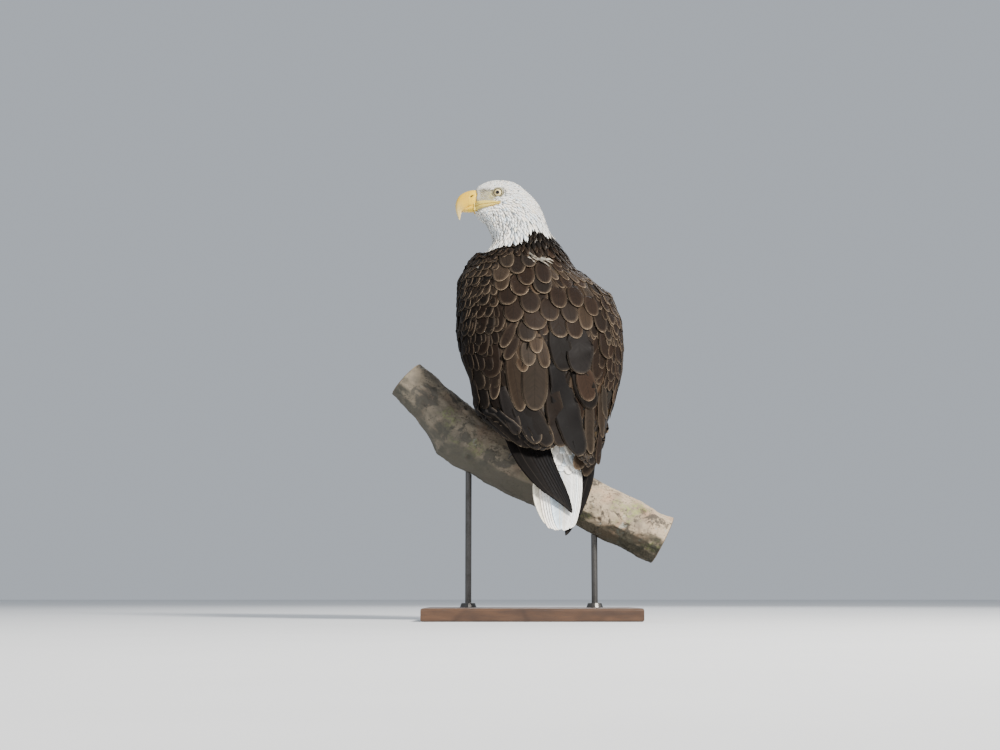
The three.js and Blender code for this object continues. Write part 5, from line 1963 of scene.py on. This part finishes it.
def eye_finish():
    """A pale yellow iris with fine rays and a dark outer ring, round a black pupil, under a clear gloss."""
    material, g, shader = new_material(
        "eye", Coat_Weight=1.0, Coat_Roughness=0.02, Coat_IOR=1.38, Specular_IOR_Level=0.3,
    )
    reach = g.attribute("reach")
    spin = g.attribute("spin", "Vector")
    rays = g.noise(g.scaled(spin, (9.0, 9.0, 1.0)), 1.6, 4.0, 0.7)
    fleck = g.noise(g.place(), 1500.0, 3.0, 0.6)
    iris = g.mix(g.span(rays, 0.35, 0.65), (0.86, 0.76, 0.44), (0.74, 0.60, 0.26))
    iris = g.over(iris, g.span(fleck, 0.55, 0.75), 0.35, (0.45, 0.30, 0.08))
    iris = g.mix(g.span(reach, 4.5, 3.5), iris, (0.42, 0.30, 0.13))
    iris = g.mix(g.span(reach, 6.5, 7.3), iris, (0.05, 0.035, 0.02))
    colour = g.mix(g.span(reach, 3.6, 3.3), iris, (0.006, 0.005, 0.005))
    g.feed(shader["Base Color"], colour)
    g.feed(shader["Roughness"], g.span(rays, 0.3, 0.7, 0.30, 0.45))
    return material


def claw_finish():
    """Black horn, greyer and scratched toward the root."""
    material, g, shader = new_material("claw_horn", Specular_IOR_Level=0.55)
    place = g.place()
    along = g.attribute("along")
    mottle = g.group(
        MOTTLE, Vector=place, Color=(0.018, 0.016, 0.015), Stain=(0.07, 0.06, 0.05), Stain_size=160.0,
        Stain_amount=0.6, Grain_size=1400.0, Grain_amount=0.5,
    )
    colour = g.mix(g.span(along, 0.22, 0.0), mottle["Color"], (0.13, 0.10, 0.065))
    g.feed(shader["Base Color"], colour)
    g.feed(shader["Roughness"], g.span(mottle["Grain"], 0.3, 0.7, 0.22, 0.42))
    raised(g, shader, g.plus(mottle["Grain"], mottle["Mask"]), 0.3, 0.0003)
    return material


def bark_finish():
    """Weathered pale bark: grey and tan plates, dark scars and cracks, lichen, a dark algae-green underside
    with painted shade in it, painted shadow toward the left end, and sawn rings on the ends.
    """
    material, g, shader = new_material("weathered_bark", Specular_IOR_Level=0.25)
    place = g.place()
    crack, knot, cut, under = (g.attribute(name) for name in ("crack", "knot", "cut", "under"))
    mottle = g.group(
        MOTTLE, Vector=place, Color=(0.47, 0.375, 0.26), Stain=(0.20, 0.165, 0.125), Stain_size=26.0,
        Stain_amount=0.8, Grain_size=420.0, Grain_amount=0.35,
    )
    colour = mottle["Color"]
    pink = g.span(g.noise(place, 17.0, 2.0, 0.5), 0.50, 0.66)
    colour = g.over(colour, pink, 0.65, (0.42, 0.26, 0.165))
    specks = g.span(g.cells(g.scaled(place, (1.0, 1.0, 1.6)), 170.0), 0.34, 0.14)
    speck_field = g.span(g.noise(place, 55.0, 2.0, 0.5), 0.42, 0.55)
    colour = g.over(colour, g.times(specks, speck_field), 0.9, (0.055, 0.045, 0.038))
    dark = g.span(g.noise(place, 20.0, 5.0, 0.68, 0.5), 0.53, 0.60)
    colour = g.over(colour, dark, 0.88, (0.060, 0.052, 0.044))
    lichen_field = g.span(g.noise(place, 13.0, 4.0, 0.62), 0.55, 0.63)
    lichen_bits = g.span(g.noise(place, 160.0, 4.0, 0.7), 0.42, 0.58)
    lichen = g.times(lichen_field, lichen_bits)
    colour = g.over(colour, lichen, 0.8, (0.33, 0.36, 0.13))
    grey = g.times(g.span(g.noise(place, 33.0, 4.0, 0.6), 0.6, 0.68), lichen_bits)
    colour = g.over(colour, grey, 0.8, (0.50, 0.53, 0.47))
    colour = g.over(colour, crack, 0.75, (0.045, 0.036, 0.028))
    colour = g.over(colour, knot, 0.7, (0.07, 0.055, 0.042))
    # a dark green-black underside: partly algae, partly painted shade on the branch's lower side
    under_algae_and_shade = g.plus(under, g.times(g.minus(g.noise(place, 24.0, 4.0, 0.6), 0.5), 1.6))
    colour = g.over(colour, g.span(under_algae_and_shade, 0.05, 0.55), 0.88, (0.036, 0.037, 0.026))
    # painted shadow: the branch darker toward its left end, with a ragged border
    left_painted_shadow = g.plus(g.attribute("run"), g.times(g.noise(place, 14.0, 4.0, 0.6), 110.0))
    colour = g.over(colour, g.span(left_painted_shadow, 40.0, -60.0), 0.62, (0.105, 0.098, 0.082))
    # the sawn ends: rings round the heart, rays, and a dark rim of bark
    heart = g.attribute("heart", "Vector")
    distance = g.add("ShaderNodeVectorMath", (0, heart), operation="LENGTH").outputs["Value"]
    wavy = g.plus(distance, g.times(g.noise(place, 45.0, 2.0, 0.5), 0.010))
    rings = g.math("ABSOLUTE", g.math("SINE", g.times(wavy, 1150.0)))
    wood = g.mix(g.span(rings, 0.1, 0.8), (0.21, 0.12, 0.058), (0.50, 0.36, 0.21))
    wood = g.over(wood, g.noise(place, 300.0, 4.0, 0.7), 0.4, (0.33, 0.22, 0.12))
    ray = g.add("ShaderNodeVectorMath", (0, heart), operation="NORMALIZE").outputs["Vector"]
    streak = g.math("ABSOLUTE", g.minus(g.noise(ray, 4.5, 3.0, 0.6), 0.5))
    check = g.times(g.span(streak, 0.014, 0.004), g.span(distance, 0.006, 0.014))
    wood = g.over(wood, check, 0.85, (0.07, 0.045, 0.028))
    wood = g.over(wood, g.span(distance, 0.016, 0.009), 0.5, (0.20, 0.11, 0.05))
    rim = g.span(distance, 0.037, 0.0395)
    wood = g.over(wood, rim, 0.9, (0.10, 0.075, 0.055))
    g.feed(shader["Base Color"], g.mix(cut, colour, wood))
    rough = g.span(g.noise(place, 240.0, 3.0, 0.6), 0.3, 0.7, 0.78, 0.95)
    g.feed(shader["Roughness"], rough)
    fine = g.noise(place, 520.0, 5.0, 0.7)
    coarse = g.noise(g.scaled(place, (0.5, 1.0, 1.0)), 150.0, 4.0, 0.65)
    height = g.plus(g.times(fine, 0.35), g.times(coarse, 0.8))
    height = g.plus(height, g.times(lichen, 0.35))
    raised(g, shader, height, 0.75, 0.0016)
    return material


def stand_wood_finish():
    """Dark oiled wood with long grain and pores."""
    material, g, shader = new_material("stand_walnut", Specular_IOR_Level=0.45, Coat_Roughness=0.3)
    place = g.place()
    stretched = g.scaled(place, (1.0, 9.0, 9.0))
    warp = g.noise(place, 5.0, 2.0, 0.5)
    wave = g.plus(g.add("ShaderNodeSeparateXYZ", (0, stretched)).outputs[1], g.times(warp, 1.8))
    bands = g.math("ABSOLUTE", g.math("SINE", g.times(wave, 9.0)))
    mottle = g.group(
        MOTTLE, Vector=stretched, Color=(0.115, 0.058, 0.030), Stain=(0.042, 0.021, 0.012),
        Stain_size=5.0, Stain_amount=0.8, Grain_size=90.0, Grain_amount=0.5,
    )
    colour = g.over(mottle["Color"], g.span(bands, 0.0, 0.5, 1.0, 0.0), 0.45, (0.030, 0.015, 0.009))
    pores = g.span(g.noise(g.scaled(place, (1.0, 26.0, 26.0)), 60.0, 2.0, 0.6), 0.62, 0.70)
    colour = g.over(colour, pores, 0.6, (0.018, 0.010, 0.006))
    g.feed(shader["Base Color"], colour)
    g.feed(shader["Roughness"], g.span(mottle["Grain"], 0.3, 0.7, 0.34, 0.5))
    g.feed(shader["Coat Weight"], g.span(mottle["Mask"], 0.0, 1.0, 0.18, 0.32))
    raised(g, shader, g.minus(mottle["Grain"], g.times(pores, 0.7)), 0.3, 0.0004)
    return material


def steel_finish():
    """Dull blackened steel with fine scratches round the rods."""
    material, g, shader = new_material("stand_blackened_steel", Specular_IOR_Level=0.5)
    place = g.place()
    mottle = g.group(
        MOTTLE, Vector=place, Color=(0.115, 0.110, 0.105), Stain=(0.060, 0.055, 0.050), Stain_size=45.0,
        Stain_amount=0.6, Grain_size=900.0, Grain_amount=0.3,
    )
    turned = g.noise(g.scaled(place, (60.0, 60.0, 2600.0)), 1.0, 2.0, 0.6)
    g.feed(shader["Base Color"], mottle["Color"])
    g.feed(shader["Metallic"], g.span(mottle["Mask"], 0.0, 1.0, 0.95, 0.8))
    g.feed(shader["Roughness"], g.span(turned, 0.3, 0.7, 0.32, 0.48))
    raised(g, shader, turned, 0.15, 0.0002)
    return material


# ---------------------------------------------------------------- the pieces

FRINGE = (0.31, 0.235, 0.16)
white_finish = plumage(
    "white_vanes", (0.80, 0.79, 0.75), 0.5, (0.70, 0.67, 0.60), 0.18, 0.10, 0.0, relief=0.35, sheen=0.05,
)
brown_finish = plumage("brown_vanes", FRINGE, 1.4, (0.009, 0.007, 0.006), 0.32, 0.6, 0.18)
flight_finish = plumage(
    "flight_vanes", (0.060, 0.048, 0.038), 0.7, (0.020, 0.016, 0.013), 0.7, 0.30, 0.12,
)
tail_finish = plumage(
    "tail_vanes", (0.72, 0.70, 0.65), 0.8, (0.66, 0.60, 0.48), 0.8, 0.10, 0.1, sheen=0.08,
)

skin_piece(skin_finish())
white_coat.piece("white_plumage", white_finish)
for coat in (brown_coat_back, brown_coat_side, brown_coat_shown, brown_coat_front):
    coat.piece("brown_plumage", brown_finish)
tail_coat.piece("white_tail", tail_finish, ["tail"])
for coat, node in zip(primary_coats, ("primaries_left", "primaries_right")):
    coat.piece("flight_feathers", flight_finish, [node])

horn = bill_finish()
upper_bill = bill_piece("bill_upper_horn", UPPER_BILL, 110, 96, 0.5, True)
lower_bill = bill_piece("bill_lower_horn", LOWER_BILL, 50, 64, 0.9, False)
for piece, node in ((upper_bill, "bill_upper"), (lower_bill, "bill_lower")):
    piece.data.materials.append(horn)
    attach(piece, "root")
    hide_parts(node)
gape = lips()
gape.data.materials.append(gape_finish())
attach(gape, "root")

eye_look = eye_finish()
for side, node in ((LEFT, "eye_left"), (RIGHT, "eye_right")):
    ball = eyeball(side)
    ball.data.materials.append(eye_look)
    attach(ball, "root")
    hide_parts(node)

scutes().piece("foot_skin", scute_finish())
claw_pieces(claw_finish())
perch_piece(bark_finish())

walnut, steel = stand_wood_finish(), steel_finish()
for node, look in (("stand_base", walnut), ("stand_rod_1", steel), ("stand_rod_2", steel)):
    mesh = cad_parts[node].data
    mesh.materials.clear()
    mesh.materials.append(look)

# ---------------------------------------------------------------- floor, light and view


FLOOR_CORNERS = [(-9000, -6000), (9000, -6000), (9000, 12000), (-9000, 12000)]
SKY, SKY_STRENGTH = (0.74, 0.80, 0.88, 1), 0.62
LIGHTS = [  # name, place and target in metres, size, watts, colour
    ("key", (2.0, -2.4, 2.6), (0, 0, 0.5), 0.8, 330, (1.0, 0.96, 0.90)),
    ("fill", (-2.6, -2.4, 1.2), (0, 0, 0.5), 2.4, 14, (0.92, 0.96, 1.0)),
    ("rear", (0.8, 2.8, 2.2), (0, 0, 0.5), 2.0, 40, (1.0, 1.0, 1.0)),
]


def stage():
    """The floor, the sky, three lamps and the camera."""
    floor = new_object("floor", [(x, y, 0) for x, y in FLOOR_CORNERS], [(0, 1, 2, 3)])
    material, g, shader = new_material("floor_paint", Roughness=0.85, Specular_IOR_Level=0.2)
    cloud = g.noise(g.place(), 6.0, 3.0, 0.5)
    g.feed(shader["Base Color"], g.mix(cloud, (0.72, 0.73, 0.74), (0.77, 0.78, 0.79)))
    floor.data.materials.append(material)

    world = bpy.data.worlds.new("studio")
    bpy.context.scene.world = world
    world.use_nodes = True
    sky = world.node_tree.nodes["Background"].inputs
    sky["Color"].default_value, sky["Strength"].default_value = SKY, SKY_STRENGTH

    for name, place, target, size, watts, colour in LIGHTS:
        light = bpy.data.lights.new(name, "AREA")
        light.shape, light.size, light.energy, light.color = "DISK", size, watts, colour
        lamp = bpy.data.objects.new(name, light)
        bpy.context.scene.collection.objects.link(lamp)
        lamp.location = place
        lamp.rotation_euler = (Vector(target) - Vector(place)).to_track_quat("-Z", "Y").to_euler()

    view = bpy.data.cameras.new("view")
    view.lens, view.sensor_width = LENS, SENSOR
    camera = bpy.data.objects.new("view", view)
    bpy.context.scene.collection.objects.link(camera)
    camera.location = SIGHT_FROM * MM
    camera.rotation_euler = (math.pi / 2 + SIGHT_PITCH, 0, 0)
    bpy.context.scene.camera = camera


stage()
